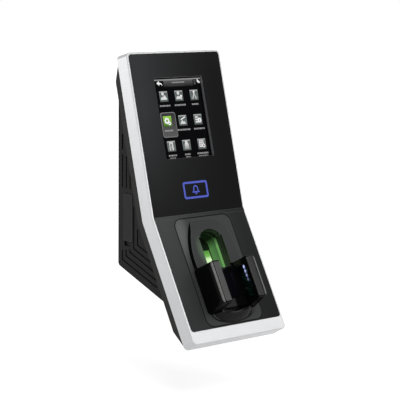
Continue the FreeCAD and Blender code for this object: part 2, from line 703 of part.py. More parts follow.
def wing_block(thick, roof, floor):
    """A guide wing, or its hollow: the outer wall and both ends lean in towards the top."""
    base = (WING_INNER + thick, WING_OUTER - thick, WING_TOP + thick, WING_BOTTOM - thick)
    top = (WING_INNER + thick, WING_TOP_OUTER - thick, WING_TOP + WING_UPPER_DRAFT + thick,
           WING_BOTTOM - WING_LOWER_DRAFT - thick)
    block = tapered_block(base, top, WING_HEIGHT - roof, floor)
    return block.makeFillet(max(WING_CORNER_R - thick, 0.5), steep_edges(block, WING_INNER + thick + 1))


def wing():
    body = wing_block(0, 0, 0)
    rims = edges_where(
        body, lambda e: e.CenterOfMass.z > WING_HEIGHT - 1e-3 and e.CenterOfMass.x > CAP_OUTER)
    body = body.makeFillet(WING_EDGE_R, rims)
    groove = box(CAP_OUTER, CAP_OUTER + GROOVE_WIDTH, -BIG / 2, BIG / 2, WING_HEIGHT - GROOVE_DEPTH,
                 WING_HEIGHT + 1)
    top, bottom, low, high = LED_WINDOW
    window = box(WING_INNER - 1, WING_INNER + WING_WALL + 0.5, -bottom, -top, low, high)
    return body.cut([wing_block(WING_WALL, WING_ROOF, -0.01), groove, window, cap_strip(0, 1)])


def cap_strip(gap, spare):
    """The matt strip on top of a wing, or its seat when it has spare length past the wing's faces."""
    lower = -(WING_BOTTOM - WING_LOWER_DRAFT - CAP_END) + gap
    upper = -(WING_TOP + WING_UPPER_DRAFT + CAP_END) - gap
    return box(WING_INNER - spare, CAP_OUTER - gap, lower, upper, WING_HEIGHT - CAP_THICK, WING_HEIGHT + spare)


def chin():
    """The rounded lip below the finger channel, on its thin base ring."""
    start = WING_BOTTOM - CHIN_UNDER
    lip = tapered_block((-CHIN_HALF, CHIN_HALF, start, CHIN_BOTTOM),
                        (-CHIN_TOP_HALF, CHIN_TOP_HALF, start, CHIN_TOP_END), CHIN_HEIGHT, CHIN_RING)
    front = edges_where(lip, lambda e: abs(e.Vertexes[0].Point.z - e.Vertexes[1].Point.z) > 1
                        and e.CenterOfMass.y < -start - 2)
    half, reach = CHIN_RING_HALF, CHIN_BOTTOM + 0.4 - WING_BOTTOM
    ends = Vector(half, -WING_BOTTOM, 0), Vector(-half, -WING_BOTTOM, 0)
    curve = Part.Ellipse(ends[1], Vector(0, -WING_BOTTOM - reach, 0), Vector(0, -WING_BOTTOM, 0))
    inner = [ends[0], Vector(half, -start, 0), Vector(-half, -start, 0), ends[1]]
    ring = Part.Wire([Part.ArcOfEllipse(curve, 0, math.pi).toShape()] + Part.makePolygon(inner).Edges)
    return lip.makeFillet(CHIN_R, front), Part.Face(ring).extrude(Vector(0, 0, CHIN_RING))


def tunnel_body():
    right = wing()
    left = right.mirror(Vector(0, 0, 0), Vector(1, 0, 0))
    floor = box(-WING_INNER - 1, WING_INNER + 1, -WING_BOTTOM + 1, -SLOT_BOTTOM - 0.5, 0, FLOOR_HEIGHT)
    lip, ring = chin()
    body = fuse(right, left, floor, lip, ring)
    seat = VEIN_WINDOW[3]
    cuts = [vein_opening(FIT, FLOOR_HEIGHT - seat, BIG), vein_opening(-1, -1, BIG)]
    return on_sensor(body.cut(cuts))


def vein_window():
    return on_sensor(vein_opening(0, FLOOR_HEIGHT - VEIN_WINDOW[3], FLOOR_HEIGHT))


def mirrored(shape, side):
    return shape if side > 0 else shape.mirror(Vector(0, 0, 0), Vector(1, 0, 0))


def wing_cap(side):
    return on_sensor(mirrored(cap_strip(FIT / 2, 0), side))


def led_window(side):
    """Infra-red window in the wing's inner wall, flush with it."""
    top, bottom, low, high = LED_WINDOW
    window = box(WING_INNER, WING_INNER + WING_WALL, -bottom + FIT / 2, -top - FIT / 2, low + FIT / 2,
                 high - FIT / 2)
    return on_sensor(mirrored(window, side))


def led_board(side):
    """Light board behind the window, with its row of emitters."""
    top, bottom, low, high = LED_WINDOW
    size, tall = LED_SIZE
    face = WING_INNER + WING_WALL + FIT + tall
    board = box(face, face + LED_BOARD_THICK, -bottom + 1, -top - 1, FLOOR_HEIGHT, high)
    middle = (low + high) / 2
    pitch = (bottom - top) / LED_COUNT
    leds = []
    for i in range(LED_COUNT):
        down = top + pitch * (i + 0.5)
        leds.append(box(face - tall, face, -down - size / 2, -down + size / 2, middle - size / 2,
                        middle + size / 2))
    return on_sensor(mirrored(fuse(board, *leds), side))


def vein_camera():
    """Camera under the channel's window, hung from the module plate's underside."""
    width, top, bottom, _ = VEIN_WINDOW
    middle = -(top + bottom) / 2
    back = -PANEL_THICK - VEIN_FRAME
    frame = box(-width / 2, width / 2, -bottom, -top, back, -PANEL_THICK)
    frame = frame.cut(vein_opening(-1.5, back - 1, 0))
    board = box(-width / 2, width / 2, -bottom, -top, back - VEIN_BOARD, back)
    lens = rod(VEIN_LENS_R, Vector(0, middle, back - 1), Vector(0, middle, -PANEL_THICK + 0.5))
    return on_sensor(fuse(frame, board, lens))


# ---- rear housing ----

def tray_profile(shell):
    """Side profile of the shallow tray behind the frame, drawn in by the wall thickness."""
    top = DISPLAY_LENGTH - TRAY_TOP_IN - shell
    tail = FASCIA_LENGTH + RAIL_HEIGHT - 2
    back = TRAY_BACK - shell
    front = FRAME_DEPTH if shell == 0 else FRAME_DEPTH - 1
    if shell > 0:
        tail = FASCIA_LENGTH - LIP_WIDTH
    run = min(TRAY_TAIL, TRAY_TAIL - shell * 3)
    return [display_point(top, -front), display_point(top - TRAY_TOP_LENGTH, -back), bend_point(-back),
            sensor_point(tail - run, -back), sensor_point(tail, -front - (0 if shell == 0 else 3)),
            sensor_point(tail, -front), bend_point(-front)]


def wedge_profile(back, shell):
    """Side profile of the wedge that stands off the wall."""
    rise = shell / math.cos(math.radians(SLOPE))
    toe = sensor_point(TOE_DOWN, -TRAY_BACK + TOE_IN)
    inside = -FRAME_DEPTH - 1
    return [Vector(0, back, BACK_TOP - shell), Vector(0, back, slope_z(back) + rise),
            Vector(0, toe.y, slope_z(toe.y) + rise), sensor_point(TOE_DOWN / 2, inside), bend_point(inside),
            display_point(UPPER_BOSS_UP, inside)]


def groove_line(points, width, depth, side):
    """A groove cut in the wedge's side along straight runs, mitred at its corners."""
    normals = []
    for start, end in zip(points, points[1:]):
        along = (end - start).normalize()
        normals.append(Vector(0, -along.z, along.y))
    offsets = [normals[0]]
    for one, other in zip(normals, normals[1:]):
        offsets.append((one + other) * (1 / (1 + one.dot(other))))
    offsets.append(normals[-1])
    left = [p + n * (width / 2) for p, n in zip(points, offsets)]
    right = [p - n * (width / 2) for p, n in zip(points, offsets)]
    wall = WEDGE_WIDTH / 2
    outline = [Vector(wall - depth, p.y, p.z) for p in left + right[::-1]]
    groove = Part.Face(Part.makePolygon(outline + outline[:1])).extrude(Vector(depth + 1, 0, 0))
    return mirrored(groove, side)


def groove_path(i):
    """Corner and front end of the sloping run of groove i."""
    y = GROOVE_FIRST[0] + i * GROOVE_PITCH[0]
    z = GROOVE_FIRST[1] + i * GROOVE_PITCH[1]
    reach = GROOVE_REACH - i * GROOVE_REACH_STEP
    return Vector(0, y, z), Vector(0, y - reach, z - reach * math.tan(math.radians(SLOPE)))


def side_grooves(side):
    """Five nested grooves, of which the outer three go on above the cover, and the slot over them."""
    width, depth = SIDE_GROOVE
    made = []
    for i in range(GROOVE_COUNT):
        corner, front = groove_path(i)
        if i < GROOVE_LONG_COUNT:
            below = Vector(0, corner.y, COVER_BOTTOM - GROOVE_ENDS[0] + i * GROOVE_ENDS[1])
            start, tops = GROOVE_ABOVE
            above = [Vector(0, corner.y, COVER_TOP + start), Vector(0, corner.y, tops[i])]
            made.append(groove_line(above, width, depth, side))
        else:
            below = Vector(0, corner.y, corner.z + GROOVE_SHORT[i - GROOVE_LONG_COUNT])
        made.append(groove_line([front, corner, below], width, depth, side))
    y, low, high = UPPER_SLOT
    slot = [Vector(0, y, high), Vector(0, y, low)]
    made.append(groove_line(slot, width * 1.3, depth, side))
    return made


def cover_seat(grow, x0, x1):
    """The side cover's outline on the left wall of the wedge, as a block between two X planes."""
    block = plan_block(COVER_FRONT - grow, COVER_REAR + grow, COVER_BOTTOM - grow, COVER_TOP + grow,
                       0, x1 - x0, COVER_R + grow)
    return placed(block, Placement(Vector(x0, 0, 0), Rotation(Vector(1, 1, 1), 120)))


def usb_block(grow, x0, x1):
    _, deep, tall = USB_SIZE
    middle_y = BOARD_Y + deep / 2
    return box(x0, x1, middle_y - deep / 2 - grow, middle_y + deep / 2 + grow,
               USB_CENTRE_Z - tall / 2 - grow, USB_CENTRE_Z + tall / 2 + grow)


def square_post(half, low, high):
    """A square post between two heights on the local axis, to be placed at its screw."""
    return box(-half, half, -half, half, low, high)


def housing_bosses():
    """Screw seats that meet the chassis posts, and the pillars that carry the main board."""
    made = []
    for side in (-1, 1):
        seat = BOSS_R + SEAT_WALL
        upper = square_post(seat, -UPPER_SEAT - UPPER_SEAT_LENGTH, -UPPER_SEAT)
        lower = square_post(seat, -TRAY_BACK + SHELL / 2, -LOWER_SEAT)
        made.append(on_display(upper.translated(Vector(side * BOSS_X, UPPER_BOSS_UP, 0))))
        made.append(on_sensor(lower.translated(Vector(side * BOSS_X, -LOWER_BOSS_DOWN, 0))))
        x = side * BOARD_HOLE[0]
        for z in BOARD_HOLE[1:]:
            made.append(box(x - BOARD_BOSS_R, x + BOARD_BOSS_R, BOARD_Y, -BACK_WALL / 2, z - BOARD_BOSS_R,
                            z + BOARD_BOSS_R))
    return made


def screw_hole(x, up, seat, floor):
    """Clearance hole and head counterbore on the local axis at x and up, open towards the back."""
    start = -TRAY_BACK - UPPER_SEAT_LENGTH
    return [rod(SCREW_R + SCREW_HOLE_GAP, Vector(x, up, start), Vector(x, up, -seat + 1)),
            rod(SCREW_HEAD_R + HEAD_GAP, Vector(x, up, start), Vector(x, up, -seat - floor))]


def housing_screw_holes():
    made = []
    for side in (-1, 1):
        x = side * BOSS_X
        made += [on_display(hole) for hole in screw_hole(x, UPPER_BOSS_UP, UPPER_SEAT, SHELL)]
        made += [on_sensor(hole) for hole in screw_hole(x, -LOWER_BOSS_DOWN, LOWER_SEAT, LOWER_SEAT_FLOOR)]
        for z in BOARD_HOLE[1:]:
            made.append(rod(SMALL_SCREW_R - RUNNING_GAP, Vector(side * BOARD_HOLE[0], BOARD_Y - 1, z),
                            Vector(side * BOARD_HOLE[0], BOARD_Y + SMALL_LENGTH + 1, z)))
    return made


def grille_slots():
    """Speaker slots through the underside of the wedge."""
    tilt = Rotation(Vector(1, 0, 0), SLOPE)
    width, length = GRILLE_SLOT
    made = []
    for i in range(GRILLE_COUNT):
        x = (i - (GRILLE_COUNT - 1) / 2) * GRILLE_PITCH
        slot = box(x - width / 2, x + width / 2, -length / 2, length / 2, -3 * SHELL, 1)
        slot.Placement = Placement(speaker_seat(), tilt)
        made.append(slot)
    return made


def speaker_seat():
    """Centre of the speaker's front, on the inner face of the underside."""
    return Vector(0, SPEAKER_Y, slope_z(SPEAKER_Y) + SHELL / math.cos(math.radians(SLOPE)))


def housing_shell():
    """Tray and wedge as one shell, open at the front and closed by the thicker back wall."""
    half = WEDGE_WIDTH / 2
    tray = side_prism(tray_profile(0), TRAY_WIDTH / 2)
    wedge = side_prism(wedge_profile(0, 0), half)
    wedge = wedge.makeFillet(BACK_CORNER_R, edges_where(
        wedge, lambda e: e.Length > 2 * half - 1e-3 and abs(e.CenterOfMass.z - BACK_BOTTOM) < 1e-3))
    body = fuse(tray, wedge).cut(box(-BIG, BIG, 0, BIG, -BIG, BIG))
    inner_tray = side_prism(tray_profile(SHELL), TRAY_WIDTH / 2 - SHELL + 2 * FIT)
    inner_wedge = side_prism(wedge_profile(-BACK_WALL, SHELL), half - SHELL)
    return body.cut(fuse(inner_tray, inner_wedge).common(box(-BIG, BIG, -BIG, -BACK_WALL, -BIG, BIG)))


def cover_floor():
    """Where the cover's seat ends, measured along X."""
    return -WEDGE_WIDTH / 2 + COVER_THICK - COVER_PROUD


def rear_housing():
    half = WEDGE_WIDTH / 2
    x0, x1, z0, z1 = POCKET
    tub = box(x0 - POCKET_WALL, x1 + POCKET_WALL, -POCKET_DEPTH - POCKET_WALL, -BACK_WALL / 2,
              z0 - POCKET_WALL, z1 + POCKET_WALL)
    backing = box(-half + SHELL / 2, cover_floor() + COVER_BACKING, COVER_FRONT - COVER_MARGIN, -BACK_WALL / 2,
                  COVER_BOTTOM - COVER_MARGIN, COVER_TOP + COVER_MARGIN)
    body = fuse(housing_shell(), tub, backing, *housing_bosses()).cut(box(-BIG, BIG, 0, BIG, -BIG, BIG))
    front, rear, below, deep = PULL_NOTCH
    cuts = [box(-PLATE_WIDTH / 2 - PLATE_GAP, PLATE_WIDTH / 2 + PLATE_GAP, -RECESS_DEPTH, 1,
                PLATE_BOTTOM - PLATE_GAP, PLATE_TOP + PLATE_GAP),
            box(x0, x1, -POCKET_DEPTH, 1, z0, z1),
            cover_seat(COVER_GAP, -half - 1, cover_floor() + COVER_SEAT_GAP),
            box(-half - 1, -half + deep, COVER_FRONT + front, COVER_REAR - rear, COVER_BOTTOM - below,
                COVER_BOTTOM + 1),
            usb_block(USB_GAP, -half - 1, cover_floor() + COVER_BACKING + 1)]
    cuts += side_grooves(-1) + side_grooves(1) + housing_screw_holes() + grille_slots()
    cuts += [connector_block(part, PLATE_GAP) for part in connector_blocks()]
    cuts.append(rod(RESET_R + RESET_HOLE_GAP, Vector(RESET_X, BOARD_Y - 1, RESET_Z),
                    Vector(RESET_X, 0, RESET_Z)))
    cuts.append(rod(PLUNGER_R + RUNNING_GAP, Vector(PLUNGER_X, BOARD_Y, PLUNGER_Z),
                    Vector(PLUNGER_X, 1, PLUNGER_Z)))
    reach = HOOK_WIDTH / 2 + HOOK_GAP
    for x in (-HOOK_X, HOOK_X):
        cuts.append(box(x - reach, x + reach, -BACK_WALL - 1, 0, HOOK_Z - PLATE_THICK - HOOK_GAP,
                        HOOK_Z + HOOK_GAP))
    return body.cut(cuts + lock_cuts())


def lock_axis_y():
    return -PLATE_THICK - FLANGE[1] / 2 - 1


def lock_cuts():
    """Room for the plate's folded flange, and the lock screw's counterbored hole."""
    width, reach = FLANGE
    y = lock_axis_y()
    under = slope_z(y)
    return [box(-width / 2 - HOOK_GAP, width / 2 + HOOK_GAP, -PLATE_THICK - reach - HOOK_GAP, 0,
                PLATE_BOTTOM - HOOK_GAP, PLATE_BOTTOM + PLATE_THICK + HOOK_GAP),
            rod(SCREW_R + SCREW_HOLE_GAP, Vector(0, y, under - 5), Vector(0, y, PLATE_BOTTOM + 1)),
            rod(SCREW_HEAD_R + HEAD_GAP, Vector(0, y, under - 5),
                Vector(0, y, under + SCREW_HEAD + HEAD_SINK))]


# ---- wall plate, board and connectors ----

def wall_plate():
    plate = box(-PLATE_WIDTH / 2, PLATE_WIDTH / 2, -PLATE_THICK, 0, PLATE_BOTTOM, PLATE_TOP)
    hooks = []
    for side in (-1, 1):
        x0, x1 = side * HOOK_X - HOOK_WIDTH / 2, side * HOOK_X + HOOK_WIDTH / 2
        tip = -BACK_WALL - PLATE_GAP - PLATE_THICK
        hooks.append(box(x0, x1, tip, -PLATE_THICK / 2, HOOK_Z - PLATE_THICK, HOOK_Z))
        hooks.append(box(x0, x1, tip, tip + PLATE_THICK, HOOK_Z - PLATE_THICK, HOOK_Z + HOOK_RISE))
    width, reach = FLANGE
    flange = box(-width / 2, width / 2, -PLATE_THICK - reach, -PLATE_THICK / 2, PLATE_BOTTOM,
                 PLATE_BOTTOM + PLATE_THICK)
    body = fuse(plate, flange, *hooks)
    x0, x1, z0, z1 = CABLE_HOLE
    holes = [box(x0, x1, -PLATE_THICK - 1, 1, z0, z1),
             rod(SCREW_R - RUNNING_GAP, Vector(0, lock_axis_y(), PLATE_BOTTOM - 1),
                 Vector(0, lock_axis_y(), PLATE_BOTTOM + PLATE_THICK + 1))]
    for x in (-HOLE_SPACING_X / 2, HOLE_SPACING_X / 2):
        for z in (-HOLE_SPACING_Z / 2, HOLE_SPACING_Z / 2):
            holes.append(rod(HOLE_R, Vector(x, -PLATE_THICK - 1, z), Vector(x, 1, z)))
    return body.cut(holes)


def main_board():
    board = box(-BOARD_HALF, BOARD_HALF, BOARD_Y - BOARD_THICK, BOARD_Y, BOARD_BOTTOM, BOARD_TOP)
    holes = [rod(SMALL_SCREW_R + SCREW_HOLE_GAP, Vector(side * BOARD_HOLE[0], BOARD_Y - BOARD_THICK - 1, z),
                 Vector(side * BOARD_HOLE[0], BOARD_Y + 1, z)) for side in (-1, 1) for z in BOARD_HOLE[1:]]
    return board.cut(holes)


def connector_blocks():
    """Outlines of what stands on the board in the connector pocket: x from, x to, z from, z to."""
    return [JACK[:4]] + [TERMINAL_X + span for span in TERMINAL_Z]


def connector_block(outline, gap):
    x0, x1, z0, z1 = outline
    return box(x0 - gap, x1 + gap, BOARD_Y - 1, -POCKET_DEPTH / 2, z0 - gap, z1 + gap)


def ethernet_jack():
    x0, x1, z0, z1 = connector_blocks()[0]
    body = box(x0, x1, BOARD_Y, BOARD_Y + JACK[4], z0, z1)
    wall = JACK_WALL
    mouth = box(x0 + wall, x1 - wall, BOARD_Y + wall, BOARD_Y + JACK[4] - wall, z0 - 1, z0 + JACK_MOUTH)
    return body.cut(mouth)


def terminal_blocks():
    """Two rows of clamp terminals, each with a row of wire entries and screw wells."""
    made = []
    for x0, x1, z0, z1 in connector_blocks()[1:]:
        block = box(x0, x1, BOARD_Y, BOARD_Y + TERMINAL_HEIGHT, z0, z1)
        pitch = (z1 - z0) / TERMINAL_WAYS
        half = TERMINAL_WELL / 2
        holes = []
        for i in range(TERMINAL_WAYS):
            z = z0 + pitch * (i + 0.5)
            holes.append(box(x1 - 1.2 - TERMINAL_WELL, x1 - 1.2, BOARD_Y + TERMINAL_HEIGHT / 2,
                             BOARD_Y + TERMINAL_HEIGHT + 1, z - half, z + half))
            holes.append(box(x0 - 1, x0 + TERMINAL_WELL, BOARD_Y + 2.2, BOARD_Y + 2.2 + TERMINAL_WELL,
                             z - half, z + half))
        made.append(block.cut(holes))
    return Part.makeCompound(made)


def board_chips():
    """Processor, memory and power parts on the front face of the board."""
    face = BOARD_Y - BOARD_THICK
    return Part.makeCompound([box(x0, x1, face - tall, face, z0, z1) for x0, x1, z0, z1, tall in CHIPS])


def backup_battery():
    face = BOARD_Y - BOARD_THICK
    radius, thick, x, z = BATTERY
    return rod(radius, Vector(x, face - thick, z), Vector(x, face, z))


def relay():
    face = BOARD_Y - BOARD_THICK
    x0, x1, z0, z1, tall = RELAY
    return box(x0, x1, face - tall, face, z0, z1)


def speaker():
    """Round speaker with a square magnet, on the underside's slots."""
    tilt = Rotation(Vector(1, 0, 0), SLOPE)
    side, tall = MAGNET
    magnet = box(-side / 2, side / 2, -side / 2, side / 2, 0, tall)
    cone = fuse(Part.makeCylinder(SPEAKER_R, SPEAKER_RIM), magnet)
    return placed(cone, Placement(speaker_seat(), tilt))


def usb_port():
    deep = USB_SIZE[0]
    start = cover_floor() + USB_SETBACK
    low, high, back = USB_TONGUE
    shell = usb_block(0, start, start + deep)
    cavity = usb_block(-USB_SHELL, start - 1, start + deep - USB_BACK)
    tongue = usb_block(-USB_SHELL, start + back, start + deep - USB_BACK / 2)
    middle_y = BOARD_Y + USB_SIZE[1] / 2
    tongue = tongue.common(box(-BIG, BIG, middle_y + low, middle_y + high, -BIG, BIG))
    return fuse(shell.cut(cavity), tongue)


def usb_cover():
    """Rubber flap with its plug, which fills the socket's mouth."""
    outer = -WEDGE_WIDTH / 2 - COVER_PROUD
    cover = cover_seat(0, outer, outer + COVER_THICK)
    deep, tall, reach = COVER_PLUG
    middle_y = BOARD_Y + USB_SIZE[1] / 2
    plug = box(outer + COVER_THICK / 2, outer + COVER_THICK + reach, middle_y - deep / 2, middle_y + deep / 2,
               USB_CENTRE_Z - tall / 2, USB_CENTRE_Z + tall / 2)
    return fuse(cover, plug)


def switch_block(x, z, height):
    return box(x - SWITCH_HALF, x + SWITCH_HALF, BOARD_Y, BOARD_Y + height, z - SWITCH_HALF, z + SWITCH_HALF)


def reset_switch():
    return switch_block(RESET_X, RESET_Z, RESET_HEIGHT)


def reset_button():
    start = BOARD_Y + RESET_HEIGHT + RESET_TRAVEL + FIT
    return rod(RESET_R, Vector(RESET_X, start, RESET_Z), Vector(RESET_X, -POCKET_DEPTH + RESET_SINK, RESET_Z))


def tamper_switch():
    return switch_block(PLUNGER_X, PLUNGER_Z, TAMPER_HEIGHT)


def plunger_rod(radius, start, end):
    return rod(radius, Vector(PLUNGER_X, start, PLUNGER_Z), Vector(PLUNGER_X, end, PLUNGER_Z))


def collar_span():
    """Y of the plunger collar's inner and outer face. The outer one stops at the back wall."""
    outer = -BACK_WALL - PLUNGER_GAP
    return outer - COLLAR[1], outer


def tamper_plunger():
    """Round pin through the back wall, held in by the wall plate, with a collar for its spring."""
    start = BOARD_Y + TAMPER_HEIGHT + PLUNGER_TRAVEL_ROOM
    pin = plunger_rod(PLUNGER_R, start, -PLATE_THICK - PLUNGER_GAP)
    return fuse(pin, plunger_rod(PLUNGER_R + COLLAR[0], *collar_span()))


def tamper_spring():
    """Stand-in sleeve for the coil spring between the switch and the collar."""
    start, end = BOARD_Y + TAMPER_HEIGHT, collar_span()[0] - PLUNGER_GAP
    bore = PLUNGER_R + SPRING_BORE
    return plunger_rod(bore + SPRING_WALL, start, end).cut(plunger_rod(bore, start - 1, end + 1))


# ---- screws ----

def screw(radius, head_r, head, length):
    """Screw with its seat at the origin and its shank down -Z."""
    shank = Part.makeCylinder(radius - 2 * RUNNING_GAP, length, Vector(0, 0, -length))
    return fuse(Part.makeCylinder(head_r, head), shank)


def driven(shape, seat, into):
    return placed(shape, Placement(seat, Rotation(Vector(0, 0, -1), into)))


def housing_screws():
    forward = Vector(0, 0, 1)
    made = []
    for x in (-BOSS_X, BOSS_X):
        one = screw(SCREW_R, SCREW_HEAD_R, SCREW_HEAD, SCREW_LENGTH)
        made.append(on_display(driven(one, Vector(x, UPPER_BOSS_UP, -UPPER_SEAT - SHELL), forward)))
        lower = Vector(x, -LOWER_BOSS_DOWN, -LOWER_SEAT - LOWER_SEAT_FLOOR)
        made.append(on_sensor(driven(one, lower, forward)))
    return Part.makeCompound(made)


def board_screws():
    small = screw(SMALL_SCREW_R, SMALL_HEAD_R, SMALL_HEAD, SMALL_LENGTH)
    return Part.makeCompound([
        driven(small, Vector(side * BOARD_HOLE[0], BOARD_Y - BOARD_THICK, z), Vector(0, 1, 0))
        for side in (-1, 1) for z in BOARD_HOLE[1:]])


def lock_screw():
    y = lock_axis_y()
    seat = slope_z(y) + SCREW_HEAD + HEAD_SINK
    length = PLATE_BOTTOM + PLATE_THICK - seat + 1
    return driven(screw(SCREW_R, SCREW_HEAD_R, SCREW_HEAD, length), Vector(0, y, seat), Vector(0, 0, 1))


NODES = {
    "front_frame": front_frame(),
    "front_chassis": front_chassis(),
    "display_panel": display_panel(),
    "key_ring": key_ring(),
    "touch_glass": touch_glass(),
    "lcd_gasket": lcd_gasket(),
    "lcd_module": lcd_module(),
    "key_board": key_board(),
    "rfid_antenna": rfid_antenna(),
    "sensor_fascia": sensor_fascia(),
    "module_plate": module_plate(),
    "arch_guide": arch_guide(),
    "optics_housing": optics_housing(),
    "fingerprint_prism": fingerprint_prism(),
    "prism_light_board": prism_light_board(),
    "fingerprint_camera": fingerprint_camera(),
    "tunnel_body": tunnel_body(),
    "left_wing_cap": wing_cap(-1),
    "right_wing_cap": wing_cap(1),
    "left_led_window": led_window(-1),
    "right_led_window": led_window(1),
    "left_led_board": led_board(-1),
    "right_led_board": led_board(1),
    "vein_window": vein_window(),
    "vein_camera": vein_camera(),
    "rear_housing": rear_housing(),
    "wall_plate": wall_plate(),
    "main_board": main_board(),
    "board_chips": board_chips(),
    "backup_battery": backup_battery(),
    "relay": relay(),
    "speaker": speaker(),
    "terminal_blocks": terminal_blocks(),
    "ethernet_jack": ethernet_jack(),
    "usb_port": usb_port(),
    "usb_cover": usb_cover(),
    "reset_switch": reset_switch(),
    "reset_button": reset_button(),
    "tamper_switch": tamper_switch(),
    "tamper_plunger": tamper_plunger(),
    "tamper_spring": tamper_spring(),
    "housing_screws": housing_screws(),
    "board_screws": board_screws(),
    "lock_screw": lock_screw(),
}

os.makedirs("parts", exist_ok=True)
for name, shape in NODES.items():
    shape.exportStep("parts/" + name + ".step")
    print(name, len(shape.Solids), round(shape.Volume, 1), shape.isValid())
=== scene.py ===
import json
import math

import bmesh
import bpy
from mathutils import Matrix, Vector

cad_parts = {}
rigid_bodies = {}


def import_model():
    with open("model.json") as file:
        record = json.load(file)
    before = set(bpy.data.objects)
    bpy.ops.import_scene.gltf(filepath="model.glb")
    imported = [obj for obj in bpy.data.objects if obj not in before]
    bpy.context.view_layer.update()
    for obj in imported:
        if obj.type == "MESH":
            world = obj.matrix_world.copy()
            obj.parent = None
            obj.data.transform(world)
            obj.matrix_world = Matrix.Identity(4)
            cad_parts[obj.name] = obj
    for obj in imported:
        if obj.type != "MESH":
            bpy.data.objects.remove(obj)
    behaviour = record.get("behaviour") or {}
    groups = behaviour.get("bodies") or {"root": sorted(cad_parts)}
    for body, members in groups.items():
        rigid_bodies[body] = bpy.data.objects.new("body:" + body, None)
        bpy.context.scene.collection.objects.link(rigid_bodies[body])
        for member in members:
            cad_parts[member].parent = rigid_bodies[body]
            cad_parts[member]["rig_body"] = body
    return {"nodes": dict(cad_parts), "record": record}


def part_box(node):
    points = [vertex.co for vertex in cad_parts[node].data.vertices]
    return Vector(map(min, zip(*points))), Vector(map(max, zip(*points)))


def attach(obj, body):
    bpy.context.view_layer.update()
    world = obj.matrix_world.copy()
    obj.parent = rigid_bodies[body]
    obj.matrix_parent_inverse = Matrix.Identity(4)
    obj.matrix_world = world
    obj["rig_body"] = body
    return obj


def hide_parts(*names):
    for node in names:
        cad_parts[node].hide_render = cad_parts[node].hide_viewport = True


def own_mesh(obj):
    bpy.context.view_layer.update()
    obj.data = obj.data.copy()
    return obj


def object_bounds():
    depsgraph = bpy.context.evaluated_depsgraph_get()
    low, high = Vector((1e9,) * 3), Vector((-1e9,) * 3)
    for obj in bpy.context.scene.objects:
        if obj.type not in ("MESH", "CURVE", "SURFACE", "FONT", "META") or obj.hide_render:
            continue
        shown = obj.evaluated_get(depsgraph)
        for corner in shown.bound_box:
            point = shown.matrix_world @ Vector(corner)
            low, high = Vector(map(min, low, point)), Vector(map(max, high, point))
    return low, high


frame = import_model()
cad_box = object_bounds()
MM = 0.001

# ---- Studio ----
# A pale paper floor and a white surround. One large soft lamp above the front lights the terminal,
# with narrow ones for the edges, and the surround gives little light of its own.
scene = bpy.context.scene
scene.view_settings.view_transform = "Standard"
middle = (cad_box[0] + cad_box[1]) / 2
WHITE = (1, 1, 1, 1)


def plug(tree, socket, value):
    """Gives an input socket a value, or a link from another node."""
    if isinstance(value, bpy.types.NodeSocket):
        tree.links.new(value, socket)
    else:
        socket.default_value = value


def add_node(tree, kind, settings=None, **sockets):
    """A shader node with its settings, and a value or a link for each input, named with _ for a space."""
    node = tree.nodes.new("ShaderNode" + kind)
    for name, value in (settings or {}).items():
        setattr(node, name, value)
    for name, value in sockets.items():
        plug(tree, node.inputs[name.replace("_", " ")], value)
    return node


def calculate(tree, operation, *values):
    """The result of a Math node on numbers or sockets."""
    node = add_node(tree, "Math", {"operation": operation})
    for socket, value in zip(node.inputs, values):
        plug(tree, socket, value)
    return node.outputs[0]


def map_range(tree, value, from_low, from_high, to_low=0.0, to_high=1.0):
    """A value carried from one range to another, and held inside it."""
    return add_node(tree, "MapRange", Value=value, From_Min=from_low, From_Max=from_high, To_Min=to_low,
                    To_Max=to_high).outputs[0]


def object_place(tree):
    """A point's place in its own object."""
    return add_node(tree, "TexCoord").outputs["Object"]


def end_in(tree, kind, ordinary, seen):
    """Ends a tree in two shaders: seen for camera, glossy and transmission rays, ordinary for others."""
    path = add_node(tree, "LightPath").outputs
    either = calculate(tree, "MAXIMUM", path["Is Camera Ray"], path["Is Glossy Ray"])
    mix = add_node(tree, "MixShader", Fac=calculate(tree, "MAXIMUM", either, path["Is Transmission Ray"]))
    plug(tree, mix.inputs[1], ordinary.outputs[0])
    plug(tree, mix.inputs[2], seen.outputs[0])
    add_node(tree, kind, Surface=mix.outputs[0])


world = bpy.data.worlds.new("studio")
scene.world = world
world.use_nodes = True
world.node_tree.nodes.clear()
around, white = (add_node(world.node_tree, "Background", Color=WHITE, Strength=level) for level in (0.3, 1.0))
end_in(world.node_tree, "OutputWorld", around, white)


def soft_lamp(name, towards, distance, size, power):
    """A rectangular area lamp in a direction from the terminal, which it faces."""
    lamp = bpy.data.lights.new(name, "AREA")
    lamp.shape = "RECTANGLE"
    lamp.size, lamp.size_y = size
    lamp.energy = power
    holder = bpy.data.objects.new(name, lamp)
    holder.location = middle + Vector(towards).normalized() * distance
    holder.rotation_euler = (middle - holder.location).to_track_quat("-Z", "Y").to_euler()
    holder.visible_camera = False
    scene.collection.objects.link(holder)


soft_lamp("large_lamp", (-0.02, -0.72, 0.69), 1.4, (1.2, 1.2), 5.5)
soft_lamp("edge_lamp", (-0.4, -0.5, 0.75), 1.3, (0.05, 0.7), 1.5)
soft_lamp("back_lamp", (-0.6, 0.75, 0.12), 1.3, (0.6, 0.4), 1.1)
soft_lamp("right_lamp", (0.66, -0.55, 0.52), 1.4, (0.3, 0.3), 0.9)

